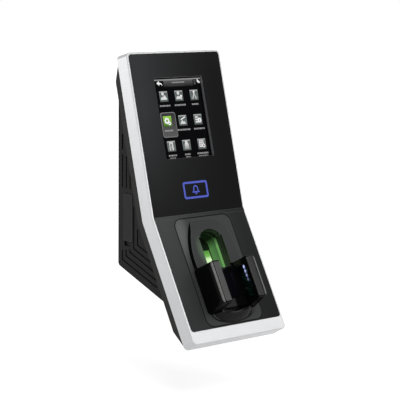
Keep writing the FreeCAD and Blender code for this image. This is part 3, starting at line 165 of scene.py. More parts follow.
FLOOR_DROP = 0.04
FLOOR_HALF = 6
floor_shape = bmesh.new()
bmesh.ops.create_grid(floor_shape, x_segments=1, y_segments=1, size=FLOOR_HALF,
                      matrix=Matrix.Translation((0, 0, cad_box[0].z - FLOOR_DROP)))
floor_mesh = bpy.data.meshes.new("floor")
floor_shape.to_mesh(floor_mesh)
floor_shape.free()
floor = bpy.data.objects.new("floor", floor_mesh)
scene.collection.objects.link(floor)
floor_paper = bpy.data.materials.new("floor_paper")
floor_paper.use_nodes = True
paper = floor_paper.node_tree
paper.nodes.clear()
reach = add_node(paper, "VectorMath", {"operation": "LENGTH"}, Vector=object_place(paper)).outputs["Value"]
matt = add_node(paper, "BsdfDiffuse", Color=(0.9, 0.9, 0.9, 1))
lit = add_node(paper, "Emission", Color=WHITE, Strength=map_range(paper, reach, 0.25, 0.9, 0.7, 1.0))
shaded = add_node(paper, "AddShader")
plug(paper, shaded.inputs[0], matt.outputs[0])
plug(paper, shaded.inputs[1], lit.outputs[0])
end_in(paper, "OutputMaterial", matt, shaded)
floor.data.materials.append(floor_paper)

# The camera: a long lens at the left of the terminal and a little above it.
camera = bpy.data.cameras.new("camera")
camera.sensor_width = 36
camera.lens = 135.71
camera_object = bpy.data.objects.new("camera", camera)
CAMERA_PLACE = (-0.70066, -0.87716, 0.15388)
azimuth, elevation, roll = (math.radians(angle) for angle in (-40.09, 8.59, 0.58))
aim = (Matrix.Rotation(azimuth, 4, "Z") @ Matrix.Rotation(math.pi / 2 - elevation, 4, "X")
       @ Matrix.Rotation(roll, 4, "Z"))
camera_object.matrix_world = Matrix.Translation(CAMERA_PLACE) @ aim
scene.collection.objects.link(camera_object)
scene.camera = camera_object

# ---- Silver frame ----
# One moulding in silver paint with a fine metallic grain, round the whole front, with a wide rail
# at the bottom. Its outer edges are softly rounded, and its rim stands level with the panels.


def new_group(name, inputs, outputs):
    """An empty node group with its sockets; each input is a name and a starting value."""
    tree = bpy.data.node_groups.new(name, "ShaderNodeTree")
    for label, value in inputs:
        kind = "NodeSocketColor" if isinstance(value, tuple) else "NodeSocketFloat"
        tree.interface.new_socket(label, in_out="INPUT", socket_type=kind).default_value = value
    for label in outputs:
        kind = "NodeSocketColor" if label == "Color" else "NodeSocketFloat"
        tree.interface.new_socket(label, in_out="OUTPUT", socket_type=kind)
    return tree, tree.nodes.new("NodeGroupInput").outputs, tree.nodes.new("NodeGroupOutput").inputs


def scaled(tree, colour, share):
    """A colour times a number."""
    return add_node(tree, "VectorMath", {"operation": "SCALE"}, Vector=colour, Scale=share).outputs[0]


def noise(tree, scale, detail, roughness=0.5):
    """A cloudy value over a piece."""
    return add_node(tree, "TexNoise", Vector=object_place(tree), Scale=scale, Detail=detail,
                    Roughness=roughness).outputs["Fac"]


def mixed(tree, share, first, second):
    """Two colours mixed, by the share of the second."""
    return add_node(tree, "Mix", {"data_type": "RGBA"}, Factor=share, A=first, B=second).outputs["Result"]


def grain_group():
    """Speckle for paint, metal and moulded plastic: a colour that varies and pales on rounded edges as a
    painted highlight, a height, and handling marks in the roughness."""
    tree, given, end = new_group("surface_grain", [("Color", (0.5, 0.5, 0.5, 1)), ("Scale", 3000.0),
                                                   ("Contrast", 0.2), ("Roughness", 0.4), ("Wear", 0.0)],
                                 ["Color", "Height", "Roughness"])
    speckle = noise(tree, given["Scale"], 3.0, 0.6)
    cloud = noise(tree, 45.0, 4.0, 0.55)
    swing = calculate(tree, "MULTIPLY", calculate(tree, "SUBTRACT", speckle, 0.5), given["Contrast"])
    shade = calculate(tree, "ADD", swing, calculate(tree, "MULTIPLY_ADD", cloud, 0.16, 0.92))
    # Faces that the edge attribute marks pale towards (0.8, 0.8, 0.8): a painted highlight on rounded edges.
    edge = add_node(tree, "Attribute", {"attribute_name": "edge"}).outputs["Fac"]
    highlighted = calculate(tree, "MULTIPLY", edge, given["Wear"])
    marks = calculate(tree, "MULTIPLY_ADD", cloud, 0.3, 0.85)
    plug(tree, end["Color"], mixed(tree, highlighted, scaled(tree, given["Color"], shade), (0.8, 0.8, 0.8, 1)))
    plug(tree, end["Height"], speckle)
    plug(tree, end["Roughness"], calculate(tree, "MULTIPLY", marks, given["Roughness"]))
    return tree


surface_grain = grain_group()


def patterned(name, group, depth, fixed, **inputs):
    """A material that takes its colour, its bump and, where it has one, its roughness from a node group."""
    material = bpy.data.materials.new(name)
    material.use_nodes = True
    tree = material.node_tree
    shader = tree.nodes["Principled BSDF"]
    for socket, value in fixed.items():
        shader.inputs[socket.replace("_", " ")].default_value = value
    pattern = add_node(tree, "Group", {"node_tree": group, "name": "pattern"}, **inputs).outputs
    bump = add_node(tree, "Bump", Strength=1.0, Distance=depth * MM, Height=pattern["Height"])
    plug(tree, shader.inputs["Base Color"], pattern["Color"])
    if "Roughness" in pattern:
        plug(tree, shader.inputs["Roughness"], pattern["Roughness"])
    plug(tree, shader.inputs["Normal"], bump.outputs["Normal"])
    return material


def finish(name, colour, roughness, grain=2500, contrast=0.25, depth=0.02, edge_highlight=0.0, shine=0.5, **fixed):
    """A moulded, painted or metal finish, speckled in colour, roughness and surface. depth is in mm.

    edge_highlight is how far its rounded edges, which the edge attribute marks, are paled: a painted
    highlight."""
    fixed["Specular IOR Level"] = shine
    return patterned(name, surface_grain, depth, fixed, Color=(*colour, 1), Scale=grain, Contrast=contrast,
                     Roughness=roughness, Wear=edge_highlight)


def shade_by(material, share):
    """Makes a finish's colour change over the piece, by a value from its own tree."""
    tree = material.node_tree
    colour = tree.nodes["pattern"].inputs["Color"]
    plug(tree, colour, scaled(tree, colour.default_value[:3], share))


def light_by(material, colour, share=1.0, strength=1.0):
    """Gives a material its own light: a colour times a value, either of them from its own tree."""
    tree = material.node_tree
    shader = tree.nodes["Principled BSDF"]
    plug(tree, shader.inputs["Emission Color"], scaled(tree, colour, share))
    shader.inputs["Emission Strength"].default_value = strength


slot_of = {part["node"]: part["material_slot"] for part in frame["record"]["subparts"]}


def dress(node, material):
    """Gives a CAD node, whose shape is right as it is, its finish."""
    mesh = frame["nodes"][node].data
    mesh.materials.clear()
    mesh.materials.append(material)


def new_piece(name, shape, slot_name, *materials, body="terminal", stands_for=None, smooth=False):
    """Makes a finished bmesh a piece that rides on a body."""
    for face in shape.faces:
        face.smooth = smooth
    mesh = bpy.data.meshes.new(name)
    shape.to_mesh(mesh)
    shape.free()
    piece = bpy.data.objects.new(name, mesh)
    scene.collection.objects.link(piece)
    for material in materials:
        mesh.materials.append(material)
    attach(piece, body)
    if stands_for:
        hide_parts(stands_for)
    return piece


def merged(node):
    """A CAD node's mesh with its loose triangles joined into flat faces."""
    shape = bmesh.new()
    shape.from_mesh(frame["nodes"][node].data)
    bmesh.ops.remove_doubles(shape, verts=shape.verts, dist=1e-6)
    bmesh.ops.dissolve_limit(shape, angle_limit=math.radians(0.5), verts=shape.verts, edges=shape.edges)
    return shape


def keep_flats_flat(piece):
    """Lets large faces set the shading of the rounded edges beside them."""
    weighted = piece.modifiers.new("flat_faces_stay_flat", "WEIGHTED_NORMAL")
    weighted.weight = 100
    return weighted


def on_plane(plane, place, direction):
    """A point in a plane's millimetres, and a direction as that plane has it."""
    return plane.inverted() @ place, (plane.inverted().to_3x3() @ direction).normalized()


def move(shape, matrix):
    """Moves a whole bmesh."""
    bmesh.ops.transform(shape, matrix=matrix, verts=shape.verts)


def round_edges(shape, edges, radius, segments, clamp=True):
    """Rounds edges and returns the new faces."""
    return bmesh.ops.bevel(shape, geom=edges, offset=radius, offset_type="OFFSET", segments=segments,
                           profile=0.5, affect="EDGES", material=-1, clamp_overlap=clamp)["faces"]


def soften(node, edge, *materials, choose=None, before=None, plane=Matrix(), segments=3, sharp=28):
    """A copy of a CAD node, its sharp edges rounded by edge millimetres, which stands for it.

    choose gives a face the number of its material, from its middle and its direction, and before
    shapes the copy first. Both see the piece as plane has it."""
    shape = merged(node)
    if before:
        move(shape, plane.inverted())
        before(shape)
        move(shape, plane)
    edge_layer = shape.loops.layers.float.new("edge")
    hard = [e for e in shape.edges if len(e.link_faces) == 2 and e.calc_face_angle() > math.radians(sharp)]
    for face in round_edges(shape, hard, edge * MM, segments):
        for loop in face.loops:
            loop[edge_layer] = 1.0
    if choose:
        for face in shape.faces:
            face.material_index = choose(*on_plane(plane, face.calc_center_median(), face.normal))
    piece = new_piece("soft_" + node, shape, slot_of[node], *materials, body=frame["nodes"][node]["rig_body"],
                      stands_for=node, smooth=True)
    keep_flats_flat(piece).keep_sharp = True
    return piece


# The silver paint's rounded edges are paled strongly: a painted highlight along the rim.
silver_paint = finish("silver_paint", (0.5, 0.503, 0.51), 0.34, grain=3600, contrast=0.4, depth=0.02,
                      edge_highlight=0.5, Metallic=0.9)
soften("front_frame", 0.3, silver_paint)

# ---- Display panel ----
# A sheet of black-backed acrylic with a polished front, which fills the upper half of the frame.
# The sawn walls of its screen opening are greyer than its face: partly the sawn edge's own colour, partly
# painted light that they catch. The face is painted lighter towards the top left, a painted reflection.
DISPLAY_TILT = 15
SENSOR_TILT = 30
panel_points = [v.co.copy() for v in frame["nodes"]["display_panel"].data.vertices]
bend = min(panel_points, key=lambda place: place.y)
bend.x = 0


def front_plane(tilt):
    """The place of a front surface from the bend up: x across, y up, z out of it, in millimetres."""
    return Matrix.Translation(bend) @ Matrix.Rotation(math.radians(90 - tilt), 4, "X") @ Matrix.Scale(MM, 4)


display_front = front_plane(DISPLAY_TILT)
panel_length = max((display_front.inverted() @ place).y for place in panel_points)
display_front = display_front @ Matrix.Translation((0, panel_length, 0))    # now y is 0 at the panel's top


def add_place(tree, tilt=SENSOR_TILT):
    """Nodes that give a point's place across, up and out of a front surface, in millimetres."""
    turned = add_node(tree, "Mapping", {"vector_type": "TEXTURE"}, Vector=object_place(tree), Location=bend,
                      Rotation=(math.radians(90 - tilt), 0, 0), Scale=(MM, MM, MM))
    return add_node(tree, "SeparateXYZ", Vector=turned.outputs[0]).outputs


ACROSS, UP, OUT = range(3)


def fade(material, axis, start, end, low=0.0, high=1.0, tilt=SENSOR_TILT):
    """A value that changes along one axis of a front surface, between two places on it."""
    tree = material.node_tree
    return map_range(tree, add_place(tree, tilt)[axis], start, end, low, high)


OPENING_HALF = 23.2      # just outside the screen opening
OPENING_SPAN = (17, 79)


def opening_wall(place, direction):
    """Picks the walls of the screen opening."""
    inside = abs(place.x) < OPENING_HALF and OPENING_SPAN[0] < -place.y < OPENING_SPAN[1]
    return 1 if abs(direction.z) < 0.9 and inside else 0


gloss_sheet = finish("gloss_sheet", (0.041, 0.0422, 0.0446), 0.14, grain=700, contrast=0.1, depth=0.001,
                     edge_highlight=0.05, shine=0.1)
# Painted reflection: the sheet's colour is lightest at the top left and fades to the right and downwards.
sheen_from_left = fade(gloss_sheet, ACROSS, 32.0, -36.0, 0.08, 1.0, DISPLAY_TILT)
shade_by(gloss_sheet, calculate(gloss_sheet.node_tree, "MULTIPLY",
                                calculate(gloss_sheet.node_tree, "POWER", sheen_from_left, 1.5),
                                fade(gloss_sheet, UP, 0.0, 76.0, 0.2, 1.0, DISPLAY_TILT)))
# The opening's walls: the sawn edge's grey, partly painted light.
sawn_edge_and_light = finish("sawn_edge_and_light", (0.2, 0.205, 0.21), 0.4, grain=1500, contrast=0.4, depth=0.02)
soften("display_panel", 0.12, gloss_sheet, sawn_edge_and_light, choose=opening_wall, plane=display_front)

# ---- Call key ----
# A blue light guide let into the panel as a rounded ring, with a lit bell symbol inside it. The
# key is a touch area and doesn't travel.
guide_blue = finish("guide_blue", (0.05, 0.07, 0.42), 0.35, grain=1800, contrast=0.2, depth=0.005,
                    Emission_Color=(0.045, 0.08, 0.48, 1), Emission_Strength=0.42)
dress("key_ring", guide_blue)

BELL_TOP = 98.6          # below the panel's top
BELL_STROKE = 1.05
BELL_SIZE = 0.87


def outline_face(shape, points):
    """A flat face through points, for insetting, cutting and thickening."""
    return shape.faces.new([shape.verts.new(place) for place in points])


def thicken(shape, faces, height):
    """Raises flat faces into a closed plate."""
    raised = bmesh.ops.extrude_face_region(shape, geom=faces, use_keep_orig=True)["geom"]
    lifted = [v for v in raised if isinstance(v, bmesh.types.BMVert)]
    bmesh.ops.translate(shape, vec=(0, 0, height), verts=lifted)
    bmesh.ops.recalc_face_normals(shape, faces=shape.faces)


# The bell's right side runs down a dome, a long waist and a flared lip.
bell = bmesh.new()
right_side = [(2.6 * math.sin(turn), 2.6 * math.cos(turn) - 2.6)
              for turn in (math.radians(15 * step) for step in range(7))]
right_side += [(2.75, -3.9), (3.2, -4.8), (4.0, -5.6), (4.0, -6.15)]
left_side = [(-x, y) for x, y in reversed(right_side[1:])]
sheet = outline_face(bell, [(x, y, 0) for x, y in right_side + left_side])
bell.normal_update()
bmesh.ops.inset_individual(bell, faces=[sheet], thickness=BELL_STROKE, use_even_offset=True)
bmesh.ops.delete(bell, geom=[sheet], context="FACES_ONLY")
outline_face(bell, [(1.3 * math.cos(turn), -6.35 - 1.25 * math.sin(turn), 0)
                    for turn in (math.radians(22.5 * step) for step in range(9))])    # its clapper
thicken(bell, bell.faces[:], 0.06)
move(bell, display_front @ Matrix.Translation((0, -BELL_TOP, 0.005)) @ Matrix.Scale(BELL_SIZE, 4))
new_piece("key_bell", bell, "blue_key", guide_blue)

# ---- Screen ----
# A touch glass behind the opening, over a foam gasket and a colour display in a thin metal tray.
# The menu that it shows is generic: nine tiles with plain symbols and rows of dashes for words.
SCREEN_TOP = 18.0        # opening, below the panel's top
SCREEN_SIZE = (44.9, 59.9)
PICTURE_OUT = -2.14      # just over the glass
LAYER_STEP = 0.012
LAYER_THICK = 0.004
glass_black = finish("glass_black", (0.004, 0.004, 0.005), 0.08, grain=400, contrast=0.1, depth=0.0,
                     shine=0.1)
dress("touch_glass", glass_black)
foam_black = finish("foam_black", (0.02, 0.02, 0.02), 0.95, grain=2400, contrast=0.8, depth=0.15)
dress("lcd_gasket", foam_black)
tray_metal = finish("tray_metal", (0.55, 0.56, 0.57), 0.35, grain=1400, contrast=0.2, depth=0.01,
                    Metallic=1.0)
soften("lcd_module", 0.2, tray_metal)

# The lit display takes its colours from the shown attribute, a little uneven as its rows are.
screen_picture = bpy.data.materials.new("screen_picture")
screen_picture.use_nodes = True
screen_tree = screen_picture.node_tree
screen_shader = screen_tree.nodes["Principled BSDF"]
for label, value in (("Base Color", (0.001, 0.001, 0.0012, 1)), ("Roughness", 0.1),
                     ("Specular IOR Level", 0.02)):
    screen_shader.inputs[label].default_value = value
shown = add_node(screen_tree, "Attribute", {"attribute_name": "shown"}).outputs["Color"]
rows = calculate(screen_tree, "MULTIPLY_ADD", noise(screen_tree, 2500.0, 1.0), 0.3, 0.85)
light_by(screen_picture, shown, rows, strength=0.95)

picture = bmesh.new()
shown_layer = picture.loops.layers.float_color.new("shown")


def grey(level):
    """A grey, from the value that the eye sees, 0 to 1."""
    return (level ** 2.2,) * 3


def show(points, layer, upper, lower=None):
    """A flat shape on the screen, from points across and down, shaded from its top to its bottom."""
    lower = lower or upper
    face = outline_face(picture, [(x, -down, PICTURE_OUT + layer * LAYER_STEP) for x, down in points])
    face.normal_update()
    if face.normal.z < 0:
        face.normal_flip()
    top, bottom = min(down for _, down in points), max(down for _, down in points)
    for loop in face.loops:
        share = (-loop.vert.co.y - top) / (bottom - top)
        loop[shown_layer] = (*[u + (w - u) * share for u, w in zip(upper, lower)], 1)


def block(x, down, width, height, layer, upper, lower=None, corner=0.0):
    """A rectangle from its top left corner, its own corners cut back by corner."""
    right, bottom, near = x + width, down + height, corner * 0.3
    points = [(x, down), (right, down), (right, bottom), (x, bottom)]
    if corner:
        points = [(x + corner, down), (right - corner, down), (right - near, down + near),
                  (right, down + corner), (right, bottom - corner), (right - near, bottom - near),
                  (right - corner, bottom), (x + corner, bottom), (x + near, bottom - near),
                  (x, bottom - corner), (x, down + corner), (x + near, down + near)]
    show(points, layer, upper, lower)


def disc(x, down, radius, layer, shade, sides=14, start=0.0, sweep=360.0, teeth=0.0):
    """A disc, a part of one, or a toothed wheel, about a centre."""
    points = []
    for step in range(sides if sweep >= 360 else sides + 1):
        turn = math.radians(start + sweep * step / sides)
        reach = radius * (1 + teeth) if step % 4 < 2 else radius
        points.append((x + reach * math.cos(turn), down + reach * math.sin(turn)))
    show(points, layer, shade)


def dashes(middle_x, down, width, shade, height=0.95):
    """A line of small dashes of uneven length, in the place of a word."""
    lengths = (1.3, 0.8, 1.1, 0.6, 1.5, 0.9, 0.7, 1.2)
    x, step = middle_x - width / 2, 0
    while x < middle_x + width / 2 - 0.4:
        length = min(lengths[(step + int(down)) % len(lengths)], middle_x + width / 2 - x)
        block(x, down, length, height, 3, shade)
        x += length + 0.32
        step += 1


PALE, MID_GREY, DARK, BRIGHT, BRIGHTEST = (grey(level) for level in (0.86, 0.55, 0.17, 0.95, 0.97))
HUB_GREEN = (0.16, 0.36, 0.07)
HALF_DISC = {"start": 180, "sweep": 180}

# Each symbol is a list of shapes: what draws it, its layer, its shade and its measures from the
# middle of the tile's top edge, with a disc's sides, teeth or sweep where it has them.


def person(x):
    """A head and shoulders."""
    return (disc, 4, PALE, (x, 2.0, 1.25)), (disc, 4, PALE, (x, 6.4, 2.3), HALF_DISC)


def wheel(x, down, radius, hub, layer, shade, sides, teeth=0.25):
    """A toothed wheel and its hub."""
    return ((disc, layer, BRIGHTEST, (x, down, radius), {"sides": sides, "teeth": teeth}),
            (disc, layer + 1, shade, (x, down, hub)))


def wave(side):
    """The wave at one side of a mast's head."""
    return disc, 4, MID_GREY, (1.3 * side, 1.7, 1.5), {"sides": 6, "start": 50 - 90 * side, "sweep": 80}


PEOPLE = (*person(-0.7), (show, 5, BRIGHT, ((0.6, 4.3), (1.3, 3.8), (2.8, 5.9), (2.1, 6.5))),
          (disc, 5, BRIGHT, (0.8, 3.9, 0.75)))
ACCESS = *person(-0.5), (disc, 5, BRIGHT, (2.0, 4.2, 0.9)), (block, 5, BRIGHT, (1.8, 4.4, 0.5, 2.6))
MAST = ((show, 4, PALE, ((0, 1.6), (2.0, 7), (1.3, 7), (0, 3.4), (-1.3, 7), (-2.0, 7))),
        (disc, 5, BRIGHT, (0, 1.7, 0.9)), wave(-1), wave(1))
GEARS = *wheel(-0.5, 3.6, 2.0, 0.95, 4, HUB_GREEN, 32), *wheel(1.7, 5.6, 1.2, 0.5, 4, HUB_GREEN, 24)
HILLS = ((show, 4, PALE, ((-2.7, 6.6), (-0.6, 3.6), (0.6, 5.2), (1.4, 4.4), (2.6, 6.6))),
         (show, 5, BRIGHTEST, ((-1.9, 3.0), (2.2, 1.2), (2.6, 1.9), (-1.5, 3.7))))
DATA = (*((block, 4, PALE, (-2.4, 1.6 + 1.8 * row, 2.6, 1.2)) for row in range(3)),
        *wheel(1.4, 4.6, 1.6, 0.7, 5, MID_GREY, 24, teeth=0.2))
DOOR = ((block, 4, PALE, (-1.9, 1.0, 3.6, 6.0)),
        (show, 5, MID_GREY, ((-1.3, 1.6), (0.7, 2.4), (0.7, 7.4), (-1.3, 6.6))),
        (disc, 6, BRIGHTEST, (0.2, 4.8, 0.3), {"sides": 8}))
STICK = ((block, 4, BRIGHTEST, (-1.1, 0.9, 2.2, 1.8)),
         (block, 4, PALE, (-1.7, 2.7, 3.6, 4.4), {"lower": MID_GREY, "corner": 0.5}),
         *((block, 5, DARK, (x, 1.4, 0.4, 0.7)) for x in (-0.6, 0.3)))
CARD = ((block, 4, PALE, (-2.5, 1.3, 4.4, 5.0)),
        *((block, 5, MID_GREY, (-2.0, 2.1 + 1.3 * row, 3.4, 0.5)) for row in range(3)),
        (disc, 6, BRIGHTEST, (1.6, 5.4, 1.4)), (disc, 7, MID_GREY, (1.6, 5.4, 0.9)))


def draw(x, down, symbol):
    """Draws a symbol from the middle of its tile's top edge."""
    for shape, layer, shade, measures, *more in symbol:
        if shape is show:
            show([(x + right, down + below) for right, below in measures], layer, shade)
        else:
            right, below, *size = measures
            shape(x + right, down + below, *size, layer, shade, **(more[0] if more else {}))


def slate(level):
    """The cool grey-green of a tile, from the value that the eye sees."""
    return (level * 0.93) ** 2.2, level ** 2.2, (level * 0.97) ** 2.2


TILE = (7.5, 7.8)
COLUMNS = (-18.2, -3.9, 10.6)
ROWS = (27.7, 46.1, 64.5)
SYMBOLS = ((PEOPLE, ACCESS, MAST), (GEARS, HILLS, DATA), (DOOR, STICK, CARD))
WORDS = ((9.6, 10.3, 6.8), (7.7, 12.3, 10.0), (7.4, 5.6, 11.0))
block(-SCREEN_SIZE[0] / 2, SCREEN_TOP + 0.05, *SCREEN_SIZE, 0, (0.001, 0.001, 0.0014))
block(-22.4, 18.9, 44.8, 1.0, 1, grey(0.6), grey(0.5))
block(-12.8, 19.9, 27.8, 5.0, 2, grey(0.36), grey(0.09))
block(-8.5, 23.6, 15.5, 0.5, 3, grey(0.26))
dashes(1.2, 21.1, 11.8, grey(0.6))
show([(-19.3, 21.7), (-16.8, 19.9), (-16.8, 21.1), (-14.6, 21.8), (-14.0, 23.8), (-15.3, 22.6), (-16.8, 22.5),
      (-16.8, 23.5)], 3, BRIGHTEST)
for row in range(3):
    block(15.9, 20.6 + row * 1.2, 1.8, 0.6, 3, grey(0.4))
show([(18.9, 20.5), (19.7, 19.9), (22.0, 22.2), (21.1, 23.0), (19.4, 22.2)], 4, grey(0.93))
block(-20.3, 43.4, 13.8, 18.5, 1, grey(0.54), grey(0.46), corner=1.5)
block(-19.7, 43.9, 12.8, 17.3, 2, grey(0.22), grey(0.36), corner=1.2)
for row, down in enumerate(ROWS):
    for column, x in enumerate(COLUMNS):
        if (row, column) == (1, 0):
            block(x, down, *TILE, 3, (0.33, 0.66, 0.09), (0.04, 0.13, 0.01))
        else:
            block(x, down, *TILE, 3, slate(0.56), slate(0.36))
            block(x + 0.3, down + 0.2, TILE[0] - 0.6, 0.8, 3.5, grey(0.72), grey(0.6))
            block(x + 0.5, down + 1.1, TILE[0] - 1.0, TILE[1] - 2.3, 3.5, slate(0.34), slate(0.5))
        draw(x + TILE[0] / 2, down - 0.1, SYMBOLS[row][column])
        dashes(x + TILE[0] / 2, down + 10.2, WORDS[row][column], grey(0.6), height=1.15)
        if row == 2:
            dashes(x + TILE[0] / 2, down + 12.2, WORDS[row][column] * 0.8, grey(0.52), height=0.85)
thicken(picture, picture.faces[:], LAYER_THICK)
move(picture, display_front)
new_piece("menu_picture", picture, "lcd", screen_picture)

# ---- Sensor fascia and module plate ----
# Grey mouldings with a fine spark-eroded texture. The fascia has a raised ledge under the display
# panel, and the module plate drops into it with a narrow seam all round.
grey_moulding = finish("grey_moulding", (0.034, 0.0355, 0.0353), 0.5, grain=2600, contrast=0.9, depth=0.035,
                       edge_highlight=0.06, shine=0.08)
plate_moulding = finish("plate_moulding", (0.046, 0.0475, 0.047), 0.5, grain=2600, contrast=0.7, depth=0.035,
                        edge_highlight=0.06, shine=0.18)
SLOT_HALF = 11.3         # just outside the finger slot
SLOT_SPAN = (13.8, 43.5)
PLATE_HALF = 27.5        # just inside the module plate's sides
sensor_front = front_plane(SENSOR_TILT)


def grade(material, left, right, top=1.0, foot=1.0):
    """Scales a finish's colour from the left edge to the right, and from the bend to the foot."""
    shade_by(material, calculate(material.node_tree, "MULTIPLY",
                                 fade(material, ACROSS, -36.0, 36.0, left, right),
                                 fade(material, UP, 0.0, -80.0, top, foot)))


# Painted light: the fascia's colour is lighter at the left and at the top, and darker to the right and
# towards the foot.
grade(grey_moulding, 1.25, 0.3, 1.8, 0.95)


def slot_wall(place, direction):
    """Picks the walls of the finger slot, which are painted near-black as painted shade, with a faint painted
    green glow.
    """
    inside = abs(place.x) < SLOT_HALF and SLOT_SPAN[0] < -place.y < SLOT_SPAN[1]
    return 1 if abs(direction.z) < 0.8 and inside else 0


def slot_or_seam(place, direction):
    """Picks the slot's walls, and the rounded edges of the seam round the module plate."""
    return slot_wall(place, direction) or (2 if abs(direction.z) < 0.985 and abs(place.x) < PLATE_HALF else 0)


# The slot's walls: near-black as painted shade, with a faint green light of their own as a painted glow from
# the well.
slot_shade_glow = finish("slot_shade_glow", (0.004, 0.006, 0.004), 0.25, grain=1800, contrast=0.3, depth=0.01, edge_highlight=0.12,
                   shine=0.1, Emission_Color=(0.006, 0.012, 0.005, 1), Emission_Strength=1.0)
seam_shade = finish("seam_shade", (0.008, 0.0085, 0.0085), 0.5, grain=2600, contrast=0.5, depth=0.02,
                    shine=0.1)
soften("sensor_fascia", 0.25, grey_moulding)
soften("module_plate", 0.3, plate_moulding, slot_shade_glow, seam_shade, choose=slot_or_seam, plane=sensor_front)

# ---- Arch guide ----
# The raised horseshoe round the finger slot, which leads the fingertip to the reader. Its left arm
# carries a painted green glow, where the light of the well spills over its edge, and its outer walls are
# made gloss black as painted shade.


def patch_group():
    """A soft round patch on a front surface, from its middle and its reach each way."""
    tree, given, end = new_group("soft_patch", [
        ("Across", 0.0), ("Up", 0.0), ("Middle Across", 0.0), ("Middle Up", 0.0), ("Reach Across", 5.0),
        ("Reach Up", 10.0)], ["Mask"])
    parts = []
    for axis in ("Across", "Up"):
        away = calculate(tree, "SUBTRACT", given[axis], given["Middle " + axis])
        share = calculate(tree, "ABSOLUTE", calculate(tree, "DIVIDE", away, given["Reach " + axis]))
        parts.append(calculate(tree, "POWER", share, 2.0))
    fall = calculate(tree, "SUBTRACT", 1.0, calculate(tree, "ADD", *parts))
    plug(tree, end["Mask"], calculate(tree, "POWER", calculate(tree, "MAXIMUM", fall, 0.0), 1.5))
    return tree


soft_patch = patch_group()


def patch_on(material, middle_across, middle_up, reach_across, reach_up):
    """How much a point of the sensor plane is inside a soft patch, 0 to 1."""
    across, up, _ = add_place(material.node_tree)
    patch = add_node(material.node_tree, "Group", {"node_tree": soft_patch}, Across=across, Up=up,
                     Middle_Across=middle_across, Middle_Up=middle_up, Reach_Across=reach_across,
                     Reach_Up=reach_up)
    return patch.outputs["Mask"]


# A painted sheen: the plate's colour is lighter in a soft patch left of the arch.
shade_by(plate_moulding, calculate(plate_moulding.node_tree, "MULTIPLY_ADD",
                                   patch_on(plate_moulding, -23.0, -16.0, 10.0, 26.0), 2.1, 1.0))

arch_moulding = finish("arch_moulding", (0.036, 0.0375, 0.038), 0.45, grain=2600, contrast=0.7, depth=0.03,
                       edge_highlight=0.14, shine=0.18)
# Painted glow: green light of its own in a soft patch on the arch's left arm.
light_by(arch_moulding, (0.035, 0.07, 0.03), patch_on(arch_moulding, -11.5, -30.0, 5.5, 13.0))
gloss_black = finish("gloss_black", (0.004, 0.004, 0.0045), 0.1, grain=500, contrast=0.2, depth=0.002,
                     edge_highlight=0.12, shine=0.05)


def arch_wall(place, direction):
    """Picks the slot's walls and the outer walls of the arch, which stand on the plate and are made gloss
    black as painted shade.
    """
    return slot_wall(place, direction) or (2 if abs(direction.z) < 0.6 and place.y < -6 else 0)


CREASE_SPAN = (12.5, 15.5)    # down from the bend, where the arch's rise ends
CREASE_OUT = 2.9


def soft_ramp(shape):
    """Rounds the crease across the arch, where its rise ends."""
    crease = [e for e in shape.edges if abs(e.verts[0].co.x - e.verts[1].co.x) > 3 and len(e.link_faces) == 2
              and all(CREASE_SPAN[0] < -v.co.y < CREASE_SPAN[1] and v.co.z > CREASE_OUT for v in e.verts)
              and e.calc_face_angle() > math.radians(8)]
    round_edges(shape, crease, 3.0, 6)


soften("arch_guide", 0.35, arch_moulding, slot_shade_glow, gloss_black, choose=arch_wall, before=soft_ramp,
       plane=sensor_front)

# ---- Light well ----
# The clear green-lit seat of the fingertip: a ledge round a deeper well, whose walls guide the light
# of the board below. That light is painted as the walls' own green glow, darkest at the round end and
# brightest down by the prism, with a painted highlight along the ledge's inner edge.
well_light = finish("well_light", (0.004, 0.01, 0.004), 0.3, grain=1500, contrast=0.4, depth=0.02, shine=0.15)
WELL_DEPTH = 16.0
# The narrow bright stops are a painted highlight along the ledge's inner edge.
WELL_SHADES = ((0.0, (0.014, 0.024, 0.012)), (0.278, (0.014, 0.028, 0.012)), (0.281, (0.13, 0.33, 0.09)),
               (0.288, (0.13, 0.33, 0.09)), (0.30, (0.045, 0.12, 0.04)), (0.55, (0.06, 0.17, 0.05)),
               (0.80, (0.075, 0.2, 0.055)), (0.808, (0.004, 0.009, 0.004)))


def shades_along(tree, share, shades):
    """A colour that changes along a share of 0 to 1, by stops."""
    node = add_node(tree, "ValToRGB", Fac=share)
    stops = node.color_ramp.elements
    while len(stops) < len(shades):
        stops.new(0.5)
    for stop, (place, shade) in zip(stops, shades):
        stop.position = place
        stop.color = (*shade, 1)
    return node.outputs["Color"]


well_tree = well_light.node_tree
depth_share = calculate(well_tree, "DIVIDE", add_place(well_tree)[OUT], -WELL_DEPTH)
light_by(well_light, shades_along(well_tree, depth_share, WELL_SHADES),
         fade(well_light, UP, -18.5, -25.5, 0.04, 1.0))
soften("optics_housing", 0.15, well_light)

# The prism's polished face, with a painted yellow-green glow for the light from below, and painted bright
# images of its lamps.
prism_glow = finish("prism_glow", (0.03, 0.07, 0.02), 0.08, grain=900, contrast=0.4, depth=0.0)
PRISM_FULL = 1.4         # the brightest place on the ramp of its shades
PRISM_SHADES = ((0.3, (0.05, 0.16, 0.03)), (0.7, (0.10, 0.30, 0.05)), (1.0, (0.17, 0.44, 0.09)),
                (1.25, (0.65, 0.9, 0.5)))
prism_tree = prism_glow.node_tree
rise = calculate(prism_tree, "ADD", fade(prism_glow, UP, -25.0, -34.0), 0.25)
uneven = calculate(prism_tree, "MULTIPLY_ADD", noise(prism_tree, 140.0, 1.0), 0.35, rise)
light_by(prism_glow, shades_along(prism_tree, calculate(prism_tree, "DIVIDE", uneven, PRISM_FULL),
                                  [(place / PRISM_FULL, shade) for place, shade in PRISM_SHADES]))
soften("fingerprint_prism", 0.12, prism_glow)

# ---- Reader electronics ----
# A light board on the prism's lower leg and a small camera block on its upper leg, held between the
# cheeks of the light well, out of sight.


